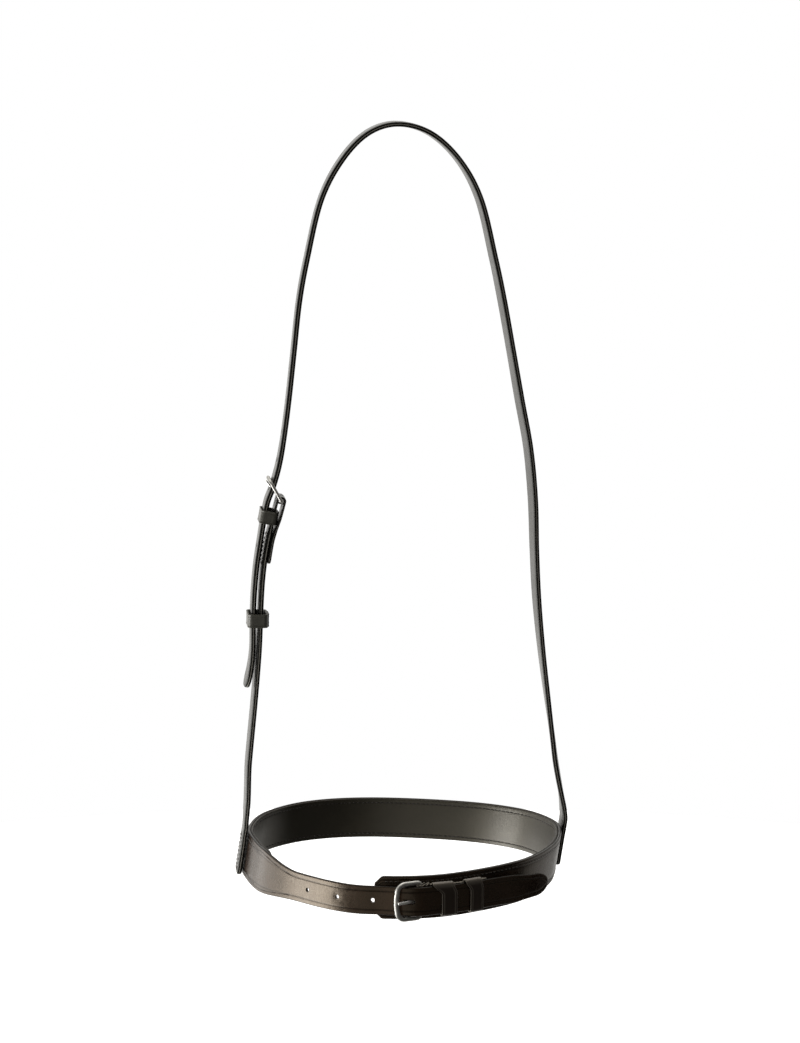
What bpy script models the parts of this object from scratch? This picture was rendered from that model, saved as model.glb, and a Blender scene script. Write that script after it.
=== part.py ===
"""Cavesson noseband on its sliphead: a riding bridle part in dark leather with steel buckles.

The part hangs as it does from a horse's head.  The origin is on the underside of the
headpiece where it rests on the poll, +Z is up, the two places where the straps are sewn to
the noseband lie along X, -Y is the jaw side with the buckle and +Y is the nose side.
"""
import math

import bmesh
import bpy
import numpy as np
from mathutils import Vector

MM = 0.001

# ---- driving dimensions, in millimetres -------------------------------------------------
DROP = 470.2                 # poll rest to the middle of the noseband
RING_CENTRE_Y = -24.4        # the noseband's centre lies in front of the two hanging points

BAND_WIDTH = 27.2
OUTER_PLY = 2.2
LINING_PLY = 1.6
PLY_GAP = 0.3
BILLET_WIDTH = 18.2
BILLET_DROP = 1.5            # the billet runs this much below the band's middle
BUCKLE_DROP = 0.6            # the buckle, its chape and the keepers
BAND_START = -27.6           # the wide end under the buckle, along the ring from the hinge bar
CORNER_CLIP = 4.4            # corners cut off the wide end
TAPER_FROM = -128.5          # the band narrows into the billet between these two
TAPER_TO = -84.0
BILLET_TIP = 86.5
TIP_TAPER = 28.0             # the billet narrows a little over this length before its tip
TIP_ROUND = 9.0              # depth of its rounded end
TIP_RISE = 5.5               # the tip springs away from the band
LAP_FROM = -32.0             # from here the billet lies outside the wide end
KEEPERS_FROM = 10.0          # and here it is down on the keepers again
STATION = 7.0                # spacing of the cross-sections along the ring

STRAP_WIDTH = 16.0
STRAP_THICK = 3.4
HANGER_CLEARANCE = 0.4       # between a strap end and the noseband's outer face

HOLE_DIAMETER = 3.4
PRONG_HOLE = (5.0, 3.4)      # across the prong, in the strap's length and in its width
FRONT_HOLES = (-69.0, -45.0, -22.0, 0.0, 23.0)   # from the prong's hole, punched by hand

HINGE_BAR = 1.3              # radii of the buckle bars
FRONT_BAR = 1.5
CHEEK_BAR = 1.15
PRONG_WIDTH = 2.4
PRONG_THICK = 1.2
FOLD_GAP = 0.3
FOLD_PLY = 1.6               # the cheek strap is skived to this where it folds
CHAPE_PLY = 1.0
KEEPER_PLY = 1.0
LEATHER_GAP = 0.3
THREAD = 0.4                 # stitching thread, square in section here
THREAD_CLEARANCE = 0.1
SEAM_AT = 10.6               # of the lining's seams, from the band's middle
STRAP_SEAM_INSET = 2.4

# Middle line of the wide band in plan, anticlockwise from the buckle, about its own centre.
RING_OUTLINE = (
    (-1.5, -94.9), (30, -86.6), (67, -63), (90, -29), (99.8, 5), (99.7, 33), (84, 64), (48, 89),
    (-10, 106), (-54, 101), (-85, 75), (-98.2, 40), (-98.2, 9), (-90, -29), (-66, -65.5),
    (-36, -88.9),
)

# Middle lines of the straps above their sewn ends: across X, height above the noseband's
# middle, and the turn of the strap about its own length in degrees, positive where its inner
# side faces the front.
HEAD_STRAP_ROUTE = (
    (104.2, 40, -8), (101.7, 65, -9),
    (97.2, 98, -3), (93, 131, 1), (89.7, 165, 4), (88, 197, 5), (86.8, 230, 7), (83.6, 263, 7),
    (77.7, 295, 7), (71.8, 328, 6), (65.9, 360, 6), (60.2, 387, 5), (51, 424, 4), (37.5, 449, 2),
    (19, 466, 2), (-2, 471.9, 0), (-21, 466, 0), (-37.5, 449, 0), (-50.5, 424, 1),
    (-59.5, 387, 1), (-64.5, 360, 1), (-68, 329, 1), (-71.6, 297, 1), (-75, 272, 1),
    (-78.2, 255, 0), (-82.2, 241, 0), (-85.6, 232, 0), (-87.8, 222, 0), (-90.3, 207, 0),
    (-92.8, 191, 0), (-94.4, 175, 0), (-95.2, 161, 0), (-95.5, 148, 0), (-95.9, 134, 0),
    (-97.4, 122, 0), (-100.2, 110, 0),
)
CHEEK_STRAP_ROUTE = (
    (-101.6, 37, -2), (-100, 50, -2),
    (-97.3, 77, -2), (-94.7, 103, -2), (-92, 133, -1), (-91, 150, 0), (-90.2, 168, 0),
    (-89.2, 182, 0), (-87.6, 195, 0), (-85.4, 207, 0), (-82.6, 220, 0),
)
CHEEK_HINGE = (-77.0, 232.2)
CHEEK_LEAN = 12.8            # of the folded cheek strap at its buckle, degrees from upright
CHEEK_FRAME_LEAN = 28.3      # of the buckle frame, the other way
CHEEK_FRAME_LENGTH = 15.4
CHAPE_LENGTH = 42.0
CHEEK_HOLES = (-2, -1, 0, 1, 2)
CHEEK_HOLE_PITCH = 19.0
RUNNING_KEEPER_AT = 155.0    # heights above the noseband's middle
FIXED_KEEPER_AT = 222.5

CHEEK_FRAME_WIDTH = 21.0
FRONT_FRAME_LENGTH = 15.8
FRONT_FRAME_WIDTH = 23.0
FRONT_FRAME_LIFT = 17.0      # degrees off the band, where the billet passes under its bar


# ---- curves ---------------------------------------------------------------------------
def catmull_rom(points, closed, steps=24):
    """Points along a smooth curve through the given ones, in any number of dimensions."""
    pts = np.array(points, dtype=float)
    count = len(pts)
    if closed:
        around = np.vstack([pts[-1:], pts, pts[:2]])
        spans = count
    else:
        around = np.vstack([2 * pts[0] - pts[1], pts, 2 * pts[-1] - pts[-2]])
        spans = count - 1
    out = []
    for i in range(spans):
        a, b, c, d = around[i:i + 4]
        for k in range(steps):
            t = k / steps
            out.append(0.5 * (2 * b + (c - a) * t + (2 * a - 5 * b + 4 * c - d) * t ** 2
                              + (3 * b - a - 3 * c + d) * t ** 3))
    out.append(pts[0] if closed else pts[-1])
    return np.array(out)


def smoothstep(t):
    t = min(max(t, 0.0), 1.0)
    return t * t * (3 - 2 * t)


class Ring:
    """The noseband's middle line: places along it, out from it and up from it."""

    def __init__(self):
        line = catmull_rom(RING_OUTLINE, closed=True)
        self.line = line
        steps = np.hypot(*(np.diff(line, axis=0).T))
        self.s = np.concatenate([[0], np.cumsum(steps)])
        self.length = self.s[-1]

    def xy(self, s):
        s = s % self.length
        return np.array([np.interp(s, self.s, self.line[:, i]) for i in (0, 1)])

    def axes(self, s):
        """Unit vectors along the ring and out of it."""
        along = self.xy(s + 1.5) - self.xy(s - 1.5)
        along /= np.linalg.norm(along)
        return along, np.array([along[1], -along[0]])

    def point(self, s, out, up):
        at = self.xy(s) + out * self.axes(s)[1]
        return Vector((at[0], at[1] + RING_CENTRE_Y, up - DROP)) * MM


RING = Ring()


def sewn_end(side):
    """The upright end of a strap against the noseband, from its lower rim up."""
    widest = side * np.max(RING.line[:, 0] * side)
    stand_off = PLY_GAP / 2 + OUTER_PLY + HANGER_CLEARANCE + STRAP_THICK / 2
    x = widest + side * stand_off
    return ((x, -BAND_WIDTH / 2 + 0.6, 0), (x, 4, 0), (x - side * 0.1, 20, 0))


# ---- meshes ---------------------------------------------------------------------------
def material(name, colour, rough, metal=0.0):
    mat = bpy.data.materials.new(name)
    mat.use_nodes = True
    shader = mat.node_tree.nodes["Principled BSDF"]
    shader.inputs["Base Color"].default_value = (*colour, 1)
    shader.inputs["Roughness"].default_value = rough
    shader.inputs["Metallic"].default_value = metal
    return mat


def new_object(name, verts, faces, mat, origin=(0, 0, 0)):
    """A mesh object whose own origin is at the given place."""
    origin = Vector(origin)
    mesh = bpy.data.meshes.new(name)
    mesh.from_pydata([Vector(v) - origin for v in verts], [], faces)
    mesh.materials.append(mat)
    bm = bmesh.new()
    bm.from_mesh(mesh)
    bmesh.ops.recalc_face_normals(bm, faces=bm.faces)
    bm.to_mesh(mesh)
    bm.free()
    obj = bpy.data.objects.new(name, mesh)
    obj.location = origin
    bpy.context.collection.objects.link(obj)
    return obj


def loft(name, sections, mat, closed=False, origin=(0, 0, 0)):
    """A solid through rings of points; closed joins the last section to the first."""
    size = len(sections[0])
    verts = [p for section in sections for p in section]
    faces = []
    count = len(sections)
    for i in range(count if closed else count - 1):
        a, b = i * size, ((i + 1) % count) * size
        for k in range(size):
            n = (k + 1) % size
            faces.append((a + k, a + n, b + n, b + k))
    if not closed:
        faces.append(tuple(range(size)))
        faces.append(tuple(range((count - 1) * size, count * size)))
    return new_object(name, verts, faces, mat, origin)


def cut(obj, cutter):
    cutter.hide_render = True
    cutter.display_type = "WIRE"
    mod = obj.modifiers.new("cut_" + cutter.name, "BOOLEAN")
    mod.operation = "DIFFERENCE"
    mod.solver = "EXACT"
    mod.object = cutter


def slot_cutter(name, centre, along, through, length, width, depth, mat, sides=10):
    """A round-ended slot through the leather: long along one axis, deep along the other."""
    along = Vector(along).normalized()
    through = Vector(through).normalized()
    across = through.cross(along)
    straight = max(length - width, 0) / 2
    outline = []
    for k in range(sides):
        angle = math.tau * (k + 0.5) / sides
        shift = straight if math.cos(angle) > 0 else -straight
        outline.append((width / 2 * math.cos(angle) + shift, width / 2 * math.sin(angle)))
    sections = []
    for side in (-0.5, 0.5):
        sections.append([Vector(centre) + (along * u + across * w + through * (side * depth)) * MM
                         for u, w in outline])
    return loft(name, sections, mat)


# ---- the noseband ---------------------------------------------------------------------
def billet_rise(s):
    """How far the billet's inner face stands out, against the distance from the hinge bar."""
    over = PLY_GAP / 2 + OUTER_PLY + LEATHER_GAP + 0.1
    if s <= LAP_FROM:
        climb = smoothstep((s - TAPER_TO) / (LAP_FROM - TAPER_TO))
        return PLY_GAP / 2 + (over - PLY_GAP / 2) * climb
    keeper = CHAPE_TOP + KEEPER_PLY + 2 * LEATHER_GAP
    crest = FRONT_HINGE_OUT + HINGE_BAR + FOLD_GAP + CHAPE_PLY + LEATHER_GAP + 0.2
    if s <= 0:
        return over + (crest - over) * smoothstep((s - BAND_START) / (-1 - BAND_START))
    if s <= KEEPERS_FROM:
        return crest + (keeper - crest) * smoothstep(s / KEEPERS_FROM)
    return keeper + TIP_RISE * max((s - 42) / (BILLET_TIP - 42), 0) ** 2


CHAPE_BASE = PLY_GAP / 2 + OUTER_PLY + LEATHER_GAP
FRONT_HINGE_OUT = CHAPE_BASE + CHAPE_PLY + FOLD_GAP + HINGE_BAR + 0.15
CHAPE_TOP = CHAPE_BASE + 2 * CHAPE_PLY + LEATHER_GAP + 0.15


def billet_height(s):
    """The middle of the billet's width: it is level with the buckle where it passes it."""
    lifted = smoothstep((s + 45) / 40) - smoothstep((s - 40) / 40)
    return -BILLET_DROP + (BILLET_DROP - BUCKLE_DROP) * lifted


def billet_middle(s):
    return RING.point(s, billet_rise(s) + OUTER_PLY / 2, billet_height(s))


def band_section(s):
    """Inner face, outer face, lower edge and upper edge of the outer ply at one station."""
    end = RING.length
    narrow = smoothstep((s - end - TAPER_FROM) / (TAPER_TO - TAPER_FROM))
    half = BAND_WIDTH / 2 + (BILLET_WIDTH - BAND_WIDTH) / 2 * narrow
    middle = billet_height(s - end) * narrow
    inner = PLY_GAP / 2
    if s > end + TAPER_TO:
        inner = billet_rise(s - end)
    half -= 1.6 * smoothstep((s - end - BILLET_TIP + TIP_TAPER) / (TIP_TAPER - 8))
    return inner, inner + OUTER_PLY, middle - half, middle + half


def band_stations():
    """Stations along the outer ply, from its wide end round to the billet's tip."""
    end = RING.length
    marks = [BAND_START] + list(np.arange(BAND_START + CORNER_CLIP, end - 40, STATION))
    marks += list(np.arange(end - 38, end + 14, 3.0))
    marks += list(np.arange(end + 16, end + BILLET_TIP - 12, STATION))
    return marks


def strip_corners(s, inner, outer, low, high):
    return [RING.point(s, inner, low), RING.point(s, outer, low),
            RING.point(s, outer, high), RING.point(s, inner, high)]


def make_nose_band(mat):
    """The outer ply: the wide band, its taper and the billet with its rounded tip."""
    sections = []
    inner, outer, low, high = band_section(BAND_START)
    sections.append(strip_corners(BAND_START, inner, outer, low + CORNER_CLIP,
                                  high - CORNER_CLIP))
    for s in band_stations()[1:]:
        sections.append(strip_corners(s, *band_section(s)))
    for turn in (0, 25, 45, 62, 76, 84):
        s = RING.length + BILLET_TIP - TIP_ROUND * (1 - math.sin(math.radians(turn)))
        inner, outer, low, high = band_section(s)
        middle, half = (low + high) / 2, (high - low) / 2 * math.cos(math.radians(turn))
        sections.append(strip_corners(s, inner, outer, middle - half, middle + half))
    band = loft("nose_band", sections, mat)
    crossing = prong_crossing(front_buckle(), np.arange(-9, 0, 0.1), billet_middle)
    for number, step in enumerate(FRONT_HOLES, 1):
        s = crossing + step
        run = (billet_middle(s + 1) - billet_middle(s)).normalized()
        through, size = run.cross(Vector((0, 0, 1))), (HOLE_DIAMETER, HOLE_DIAMETER)
        depth = OUTER_PLY + 0.5          # stays clear of the wide end below the billet
        if step == 0:
            through, size, depth = prong_line(front_buckle())[1], PRONG_HOLE, 16.0
        punch(band, "billet_hole_cutter_%d" % number, billet_middle(s), run, through, size,
              mat, depth)
    return band


def lining_stations():
    marks = list(np.arange(BAND_START + CORNER_CLIP, RING.length + TAPER_FROM + 12, STATION))
    return [BAND_START + 0.3] + marks


def make_lining(mat):
    """The inner ply, which lines the wide band as far as the start of the taper."""
    marks = lining_stations()
    inner, outer = -PLY_GAP / 2 - LINING_PLY, -PLY_GAP / 2
    sections = []
    for i, s in enumerate(marks):
        clip = CORNER_CLIP if i in (0, len(marks) - 1) else 0
        half = BAND_WIDTH / 2 - 0.3 - clip
        sections.append(strip_corners(s, inner, outer, -half, half))
    return loft("nose_band_lining", sections, mat)


def make_front_chape(mat):
    """A strip folded round the hinge bar, both ends of it sewn down on the band."""
    half = BILLET_WIDTH / 2
    low, high = -BUCKLE_DROP - half, -BUCKLE_DROP + half
    inner_radius = HINGE_BAR + FOLD_GAP
    outer_radius = inner_radius + CHAPE_PLY
    end = 44.0
    under = [(s, FRONT_HINGE_OUT - outer_radius, FRONT_HINGE_OUT - inner_radius)
             for s in (end, 37, 30, 23, 16, 8, 0)]
    over = []
    for s in (0, 2, 4, 6, 8, KEEPERS_FROM, 16, 23, 30, 37, end):
        drop = (FRONT_HINGE_OUT + outer_radius - CHAPE_TOP) * smoothstep(s / KEEPERS_FROM)
        over.append((s, FRONT_HINGE_OUT + inner_radius - drop,
                     FRONT_HINGE_OUT + outer_radius - drop))
    sections = [[RING.point(s, far, low), RING.point(s, near, low),
                 RING.point(s, near, high), RING.point(s, far, high)] for s, far, near in under]
    for turn in (-60, -30, 0, 30, 60):
        back, out = math.cos(math.radians(turn)), math.sin(math.radians(turn))
        ring = []
        for radius, up in ((outer_radius, low), (inner_radius, low),
                           (inner_radius, high), (outer_radius, high)):
            ring.append(RING.point(-radius * back, FRONT_HINGE_OUT + radius * out, up))
        sections.append(ring)
    sections += [[RING.point(s, far, low), RING.point(s, near, low),
                  RING.point(s, near, high), RING.point(s, far, high)] for s, near, far in over]
    chape = loft("front_buckle_chape", sections, mat)
    along, out = RING.axes(0)
    centre = RING.point(-0.5, FRONT_HINGE_OUT + 1.5, -BUCKLE_DROP)
    cut(chape, slot_cutter("front_slot_cutter", centre, (*along, 0), (*out, 0), 11, 3.4, 13, mat))
    return chape


def ring_loop(name, at, length, inside, outside, height, mat):
    """A keeper round the billet: a flat loop with a square opening."""
    ply = KEEPER_PLY
    sections = []
    mid = -BUCKLE_DROP
    for out, up, push in ((inside, -height, -1), (inside, height, -1),
                          (outside, height, 1), (outside, -height, 1)):
        ring = []
        side = 1 if up > 0 else -1
        for s, grow in ((at, 0), (at + length, 0), (at + length, 1), (at, 1)):
            ring.append(RING.point(s, out + push * ply * grow, mid + up + side * ply * grow))
        sections.append(ring)
    return loft(name, sections, mat, closed=True)


def make_front_keepers(mat):
    base = CHAPE_TOP + LEATHER_GAP + KEEPER_PLY
    half = BILLET_WIDTH / 2 + LEATHER_GAP
    for name, at in (("front_keeper_near", 11.5), ("front_keeper_far", 29.2)):
        top = base + LEATHER_GAP + OUTER_PLY + LEATHER_GAP + 0.1
        ring_loop(name, at, 9.0, base, top, half, mat)


# ---- buckles --------------------------------------------------------------------------
def buckle_frame(name, buckle, width, mat):
    """A bent wire frame: hinge bar at the hinge, far bar at the buckle's length from it."""
    hinge, along, out, length, side_bar = buckle
    side = out.cross(along)
    half = width / 2
    corner = 3.6
    path = []
    for k in range(4):
        angle = math.radians(30 * k)
        path.append((length - corner + corner * math.cos(angle),
                     half - corner + corner * math.sin(angle), side_bar))
    path.append((length * 0.45, half, side_bar))
    path.append((2.4, half, side_bar))
    path.append((0.7, half - 0.7, side_bar))
    path.append((0, half - 2.6, HINGE_BAR))
    path += [(u, -w, r) for u, w, r in reversed(path)]
    centre = Vector((length / 2, 0))
    sections = []
    count = len(path)
    for i, (u, w, radius) in enumerate(path):
        before, after = path[i - 1], path[(i + 1) % count]
        run = Vector((after[0] - before[0], after[1] - before[1])).normalized()
        normal = Vector((run.y, -run.x))
        if normal.dot(Vector((u, w)) - centre) < 0:
            normal = -normal
        ring = []
        for k in range(8):
            angle = math.tau * (k + 0.5) / 8
            flat = normal * (radius * math.cos(angle))
            place = along * (u + flat.x) + side * (w + flat.y) + out * (radius * math.sin(angle))
            ring.append(Vector(hinge) + place * MM)
        sections.append(ring)
    return loft(name, sections, mat, closed=True, origin=hinge)


def buckle_prong(name, buckle, mat):
    """The tongue: an eye round the hinge bar and a shaft that ends on the far bar."""
    hinge, along, out, length, bar = buckle
    side = out.cross(along)
    rest_on = bar + 0.25
    eye = HINGE_BAR + 1.6
    outline = []
    for turn in range(60, 361, 30):
        outline.append((eye * math.cos(math.radians(turn)), eye * math.sin(math.radians(turn))))
    outline[-1] = (eye, -0.4)
    outline += [(length - 0.6, rest_on), (length + 0.8, rest_on + 0.3),
                (length - 0.6, rest_on + PRONG_THICK), (eye + 0.8, 1.9)]
    half = PRONG_WIDTH / 2
    sections = []
    for w in (-half, half):
        sections.append([Vector(hinge) + (along * u + out * v + side * w) * MM
                         for u, v in outline])
    prong = loft(name, sections, mat, origin=hinge)
    ends = []
    for w in (-4, 4):
        ends.append([Vector(hinge) + (along * ((HINGE_BAR + 0.25) * math.cos(a))
                                      + out * ((HINGE_BAR + 0.25) * math.sin(a)) + side * w) * MM
                     for a in (math.tau * k / 12 for k in range(12))])
    cut(prong, loft(name + "_cutter", ends, mat))
    return prong


def prong_line(buckle):
    """Start and direction of the prong's shaft."""
    hinge, along, out, length, bar = buckle
    start = hinge + (along * 2.9 + out * 0.9) * MM
    end = hinge + (along * length + out * (bar + 0.25 + PRONG_THICK / 2)) * MM
    return start, (end - start).normalized()


def prong_crossing(buckle, distances, place_at):
    """Which of the distances along a strap brings its middle nearest to the prong."""
    start, axis = prong_line(buckle)
    return min(distances, key=lambda s: (place_at(s) - start).cross(axis).length)


def punch(strap, name, centre, run, through, size, mat, depth=16.0):
    """A hole through a strap; a prong's own hole slants along the prong."""
    run = Vector(run) - Vector(through) * Vector(run).dot(Vector(through))
    cut(strap, slot_cutter(name, centre, run, through, *size, depth, mat))


def front_buckle():
    """Hinge point, direction to the far bar, direction out, length and bar radius."""
    along, out = RING.axes(0)
    lift = math.radians(FRONT_FRAME_LIFT)
    reach = Vector((*(-along * math.cos(lift) + out * math.sin(lift)), 0))
    face = Vector((*(along * math.sin(lift) + out * math.cos(lift)), 0))
    hinge = RING.point(0, FRONT_HINGE_OUT, -BUCKLE_DROP)
    return hinge, reach, face, FRONT_FRAME_LENGTH, FRONT_BAR


def make_front_buckle(steel):
    buckle_frame("front_buckle_frame", front_buckle(), FRONT_FRAME_WIDTH, steel)
    buckle_prong("front_buckle_prong", front_buckle(), steel)


def place(x, y, height):
    return Vector((x, y, height - DROP)) * MM


def cheek_buckle():
    lean = math.radians(CHEEK_FRAME_LEAN)
    along = Vector((-math.sin(lean), 0, math.cos(lean)))
    out = Vector((-math.cos(lean), 0, -math.sin(lean)))
    hinge = place(CHEEK_HINGE[0], 0, CHEEK_HINGE[1])
    return hinge, along, out, CHEEK_FRAME_LENGTH, CHEEK_BAR


def make_cheek_buckle(steel):
    buckle_frame("cheek_buckle_frame", cheek_buckle(), CHEEK_FRAME_WIDTH, steel)
    buckle_prong("cheek_buckle_prong", cheek_buckle(), steel)


# ---- the straps -----------------------------------------------------------------------
class Route:
    """A strap's middle line in the XZ plane, with its turn about its own length."""

    def __init__(self, points):
        self.line = catmull_rom(points, closed=False, steps=12)
        steps = np.hypot(np.diff(self.line[:, 0]), np.diff(self.line[:, 1]))
        self.s = np.concatenate([[0], np.cumsum(steps)])
        self.length = self.s[-1]

    def at(self, s):
        return [float(np.interp(s, self.s, self.line[:, i])) for i in range(3)]

    def middle(self, s):
        x, z, _ = self.at(s)
        return place(x, 0, z)

    def nearest(self, height, x_sign, after=0):
        """Distance along the route to a height on one side of the crown."""
        side = (np.sign(self.line[:, 0]) == x_sign) & (self.s >= after)
        gap = np.where(side, np.abs(self.line[:, 1] - height), np.inf)
        return self.s[int(np.argmin(gap))]

    def section(self, s, width, thick):
        """Four corners of the strap, its outer side first."""
        x, z, turn = self.at(s)
        ahead, behind = self.at(min(s + 1, self.length)), self.at(max(s - 1, 0))
        along = Vector((ahead[0] - behind[0], 0, ahead[1] - behind[1])).normalized()
        normal = Vector((along.z, 0, -along.x))      # away from the loop on the way up at +X
        turn = math.radians(turn)
        across = Vector((0, math.cos(turn), 0)) - normal * math.sin(turn)
        face = normal * math.cos(turn) + Vector((0, math.sin(turn), 0))
        centre = place(x, 0, z)
        return [centre + (face * (thick / 2 * a) + across * (width / 2 * b)) * MM
                for a, b in ((1, -1), (1, 1), (-1, 1), (-1, -1))]


def head_strap_route():
    return Route(sewn_end(1) + HEAD_STRAP_ROUTE)


def make_head_strap(mat):
    """From the right side of the noseband over the poll to the billet through the buckle."""
    route = head_strap_route()
    marks = list(np.arange(0, route.length - 12, 11.0))
    sections = [route.section(s, STRAP_WIDTH, STRAP_THICK) for s in marks]
    for turn in (0, 30, 52, 70, 82):
        s = route.length - 10 + 10 * math.sin(math.radians(turn))
        sections.append(route.section(s, STRAP_WIDTH * math.cos(math.radians(turn)), STRAP_THICK))
    strap = loft("head_strap", sections, mat)
    near_buckle = np.arange(route.nearest(252, -1), route.nearest(226, -1), 0.1)
    crossing = prong_crossing(cheek_buckle(), near_buckle, route.middle)
    for step in CHEEK_HOLES:
        s = crossing + step * CHEEK_HOLE_PITCH
        run = (route.middle(s + 1) - route.middle(s)).normalized()
        through, size = run.cross(Vector((0, 1, 0))), (HOLE_DIAMETER, HOLE_DIAMETER)
        if step == 0:
            through, size = prong_line(cheek_buckle())[1], PRONG_HOLE
        punch(strap, "strap_hole_cutter_%d" % (step + 3), route.middle(s), run, through, size,
              mat)
    return strap


def cheek_strap_route():
    """From the turned-back end up to the hinge bar, round it and down to the noseband."""
    lean = math.radians(CHEEK_LEAN)
    up = Vector((math.sin(lean), math.cos(lean)))
    right = Vector((up.y, -up.x))
    hinge = Vector(CHEEK_HINGE)
    radius = HINGE_BAR + FOLD_GAP + FOLD_PLY / 2
    fold = []
    for turn in range(0, 181, 30):
        swing = right * math.cos(math.radians(turn)) + up * math.sin(math.radians(turn))
        fold.append((*(hinge + swing * radius), 0))
    down = [fold[-1]] + list(reversed(sewn_end(-1) + CHEEK_STRAP_ROUTE))
    outer = Route(down)
    chape = []
    for back in (CHAPE_LENGTH, 34, 26, 19, 13, 7):
        x, z, _ = outer.at(back)
        ahead = outer.at(back - 1)
        run = Vector((ahead[0] - x, ahead[1] - z)).normalized()
        apart = (STRAP_THICK + FOLD_PLY) / 2 + LEATHER_GAP
        apart += (2 * radius - apart) * (1 - smoothstep((back - 9) / 16))
        chape.append((x + run.y * apart, z - run.x * apart, 0))
    return Route(chape + fold + down[1:])


def cheek_thickness(route, s):
    """The strap is thin round the bar and in its turned-back end, and full further down."""
    folded = route.s[int(np.argmax(route.line[:, 1]))]
    return FOLD_PLY + (STRAP_THICK - FOLD_PLY) * smoothstep((s - folded - 8) / 22)


def make_cheek_strap(mat):
    """One strap, sewn to the noseband's left side and folded round the buckle's hinge bar."""
    route = cheek_strap_route()
    marks = [0, 3]
    marks += list(np.arange(9, CHAPE_LENGTH - 2, 6.0))
    marks += list(np.arange(CHAPE_LENGTH - 1, CHAPE_LENGTH + 11, 1.25))
    marks += list(np.arange(CHAPE_LENGTH + 14, route.length, 9.0))
    marks.append(route.length)
    sections = []
    for s in marks:
        narrow = 0.45 if s == 0 else 1.0
        sections.append(route.section(s, STRAP_WIDTH * narrow, cheek_thickness(route, s)))
    strap = loft("cheek_strap", sections, mat)
    lean = math.radians(CHEEK_LEAN)
    slot_at = place(CHEEK_HINGE[0] + math.sin(lean), 0, CHEEK_HINGE[1] + math.cos(lean))
    cut(strap, slot_cutter("cheek_slot_cutter", slot_at, (math.sin(lean), 0, math.cos(lean)),
                           (-math.cos(lean), 0, math.sin(lean)), 12, 3.4, 12, mat))
    return strap


def strap_keeper(name, height, tall, ply, ease, mat):
    """A loop of leather round both straps below the cheek buckle, with some ease all round."""
    outer, inner = head_strap_route(), cheek_strap_route()
    at_outer, at_inner = outer.nearest(height, -1), inner.nearest(height, -1, after=CHAPE_LENGTH)
    o, i = outer.middle(at_outer), inner.middle(at_inner)
    up = (outer.middle(at_outer - 3) - outer.middle(at_outer + 3)).normalized()
    out = Vector((-up.z, 0, up.x))
    across = Vector((0, 1, 0))
    near = (i - o).dot(out) / MM - cheek_thickness(inner, at_inner) / 2 - ease
    far = STRAP_THICK / 2 + min(ease, 0.6)
    half = STRAP_WIDTH / 2 + LEATHER_GAP
    sections = []
    for v, w, push in ((near, -half, -1), (near, half, -1), (far, half, 1), (far, -half, 1)):
        side = 1 if w > 0 else -1
        ring = []
        for h, grow in ((-0.5, 0), (0.5, 0), (0.5, ply), (-0.5, ply)):
            ring.append(o + (up * (h * tall) + out * (v + push * grow)
                             + across * (w + side * grow)) * MM)
        sections.append(ring)
    return loft(name, sections, mat, closed=True, origin=o)


def make_cheek_keepers(mat):
    strap_keeper("cheek_running_keeper", RUNNING_KEEPER_AT, 8.8, 1.4, 1.5, mat)
    strap_keeper("cheek_fixed_keeper", FIXED_KEEPER_AT, 8.6, 0.9, LEATHER_GAP, mat)


# ---- stitching ------------------------------------------------------------------------
def thread(name, points, faces, mat, closed=False):
    """A run of thread along points just clear of a face, given its outward directions."""
    sections = []
    count = len(points)
    for i, (at, face) in enumerate(zip(points, faces)):
        before = points[i - 1] if i or closed else at
        after = points[(i + 1) % count] if i < count - 1 or closed else at
        face = Vector(face).normalized()
        side = (after - before).normalized().cross(face)
        lift = face * (THREAD_CLEARANCE + THREAD / 2)
        sections.append([at + (lift + side * (THREAD / 2 * a) + face * (THREAD / 2 * b)) * MM
                         for a, b in ((1, 1), (-1, 1), (-1, -1), (1, -1))])
    return loft(name, sections, mat, closed=closed)


def make_lining_seams(mat):
    """The two long seams inside the noseband that join the lining to the outer ply."""
    marks = lining_stations()[2:-2]
    for name, up in (("upper_lining_seam", 1), ("lower_lining_seam", -1)):
        points, faces = [], []
        for s in marks:
            points.append(RING.point(s, -PLY_GAP / 2 - LINING_PLY, up * SEAM_AT))
            faces.append((*(-RING.axes(s)[1]), 0))
        thread(name, points, faces, mat)


def make_chape_seam(mat):
    """A rectangle of stitches through the front chape between its two keepers."""
    points, faces = [], []
    for s, up in ((22.0, -6.5), (27.0, -6.5), (27.0, 6.5), (22.0, 6.5)):
        points.append(RING.point(s, CHAPE_TOP, up - BUCKLE_DROP))
        faces.append((*RING.axes(s)[1], 0))
    thread("front_chape_seam", points, faces, mat, closed=True)


def strap_seam(name, route, stations, thickness, mat):
    """A rectangle of stitches on the outer face of a strap, inside its edges."""
    inset = (STRAP_WIDTH / 2 - STRAP_SEAM_INSET) / (STRAP_WIDTH / 2)
    points, faces = [], []
    for edge in (1, -1):
        for s in stations[::edge]:
            corners = route.section(s, STRAP_WIDTH, thickness(s))
            middle = (corners[0] + corners[1]) / 2
            points.append(middle + (corners[0 if edge > 0 else 1] - middle) * inset)
            faces.append(corners[0] - corners[3])
    thread(name, points, faces, mat, closed=True)


def make_strap_seams(mat):
    head, cheek = head_strap_route(), cheek_strap_route()
    strap_seam("right_hanger_seam", head, [2.5, 11, 22], lambda s: STRAP_THICK, mat)
    strap_seam("left_hanger_seam", cheek, [cheek.length - u for u in (22, 13, 2.5)],
               lambda s: STRAP_THICK, mat)
    top = cheek.nearest(212, -1, after=CHAPE_LENGTH)
    strap_seam("cheek_chape_seam", cheek, list(np.linspace(top, top + 22, 5)),
               lambda s: cheek_thickness(cheek, s), mat)


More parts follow.
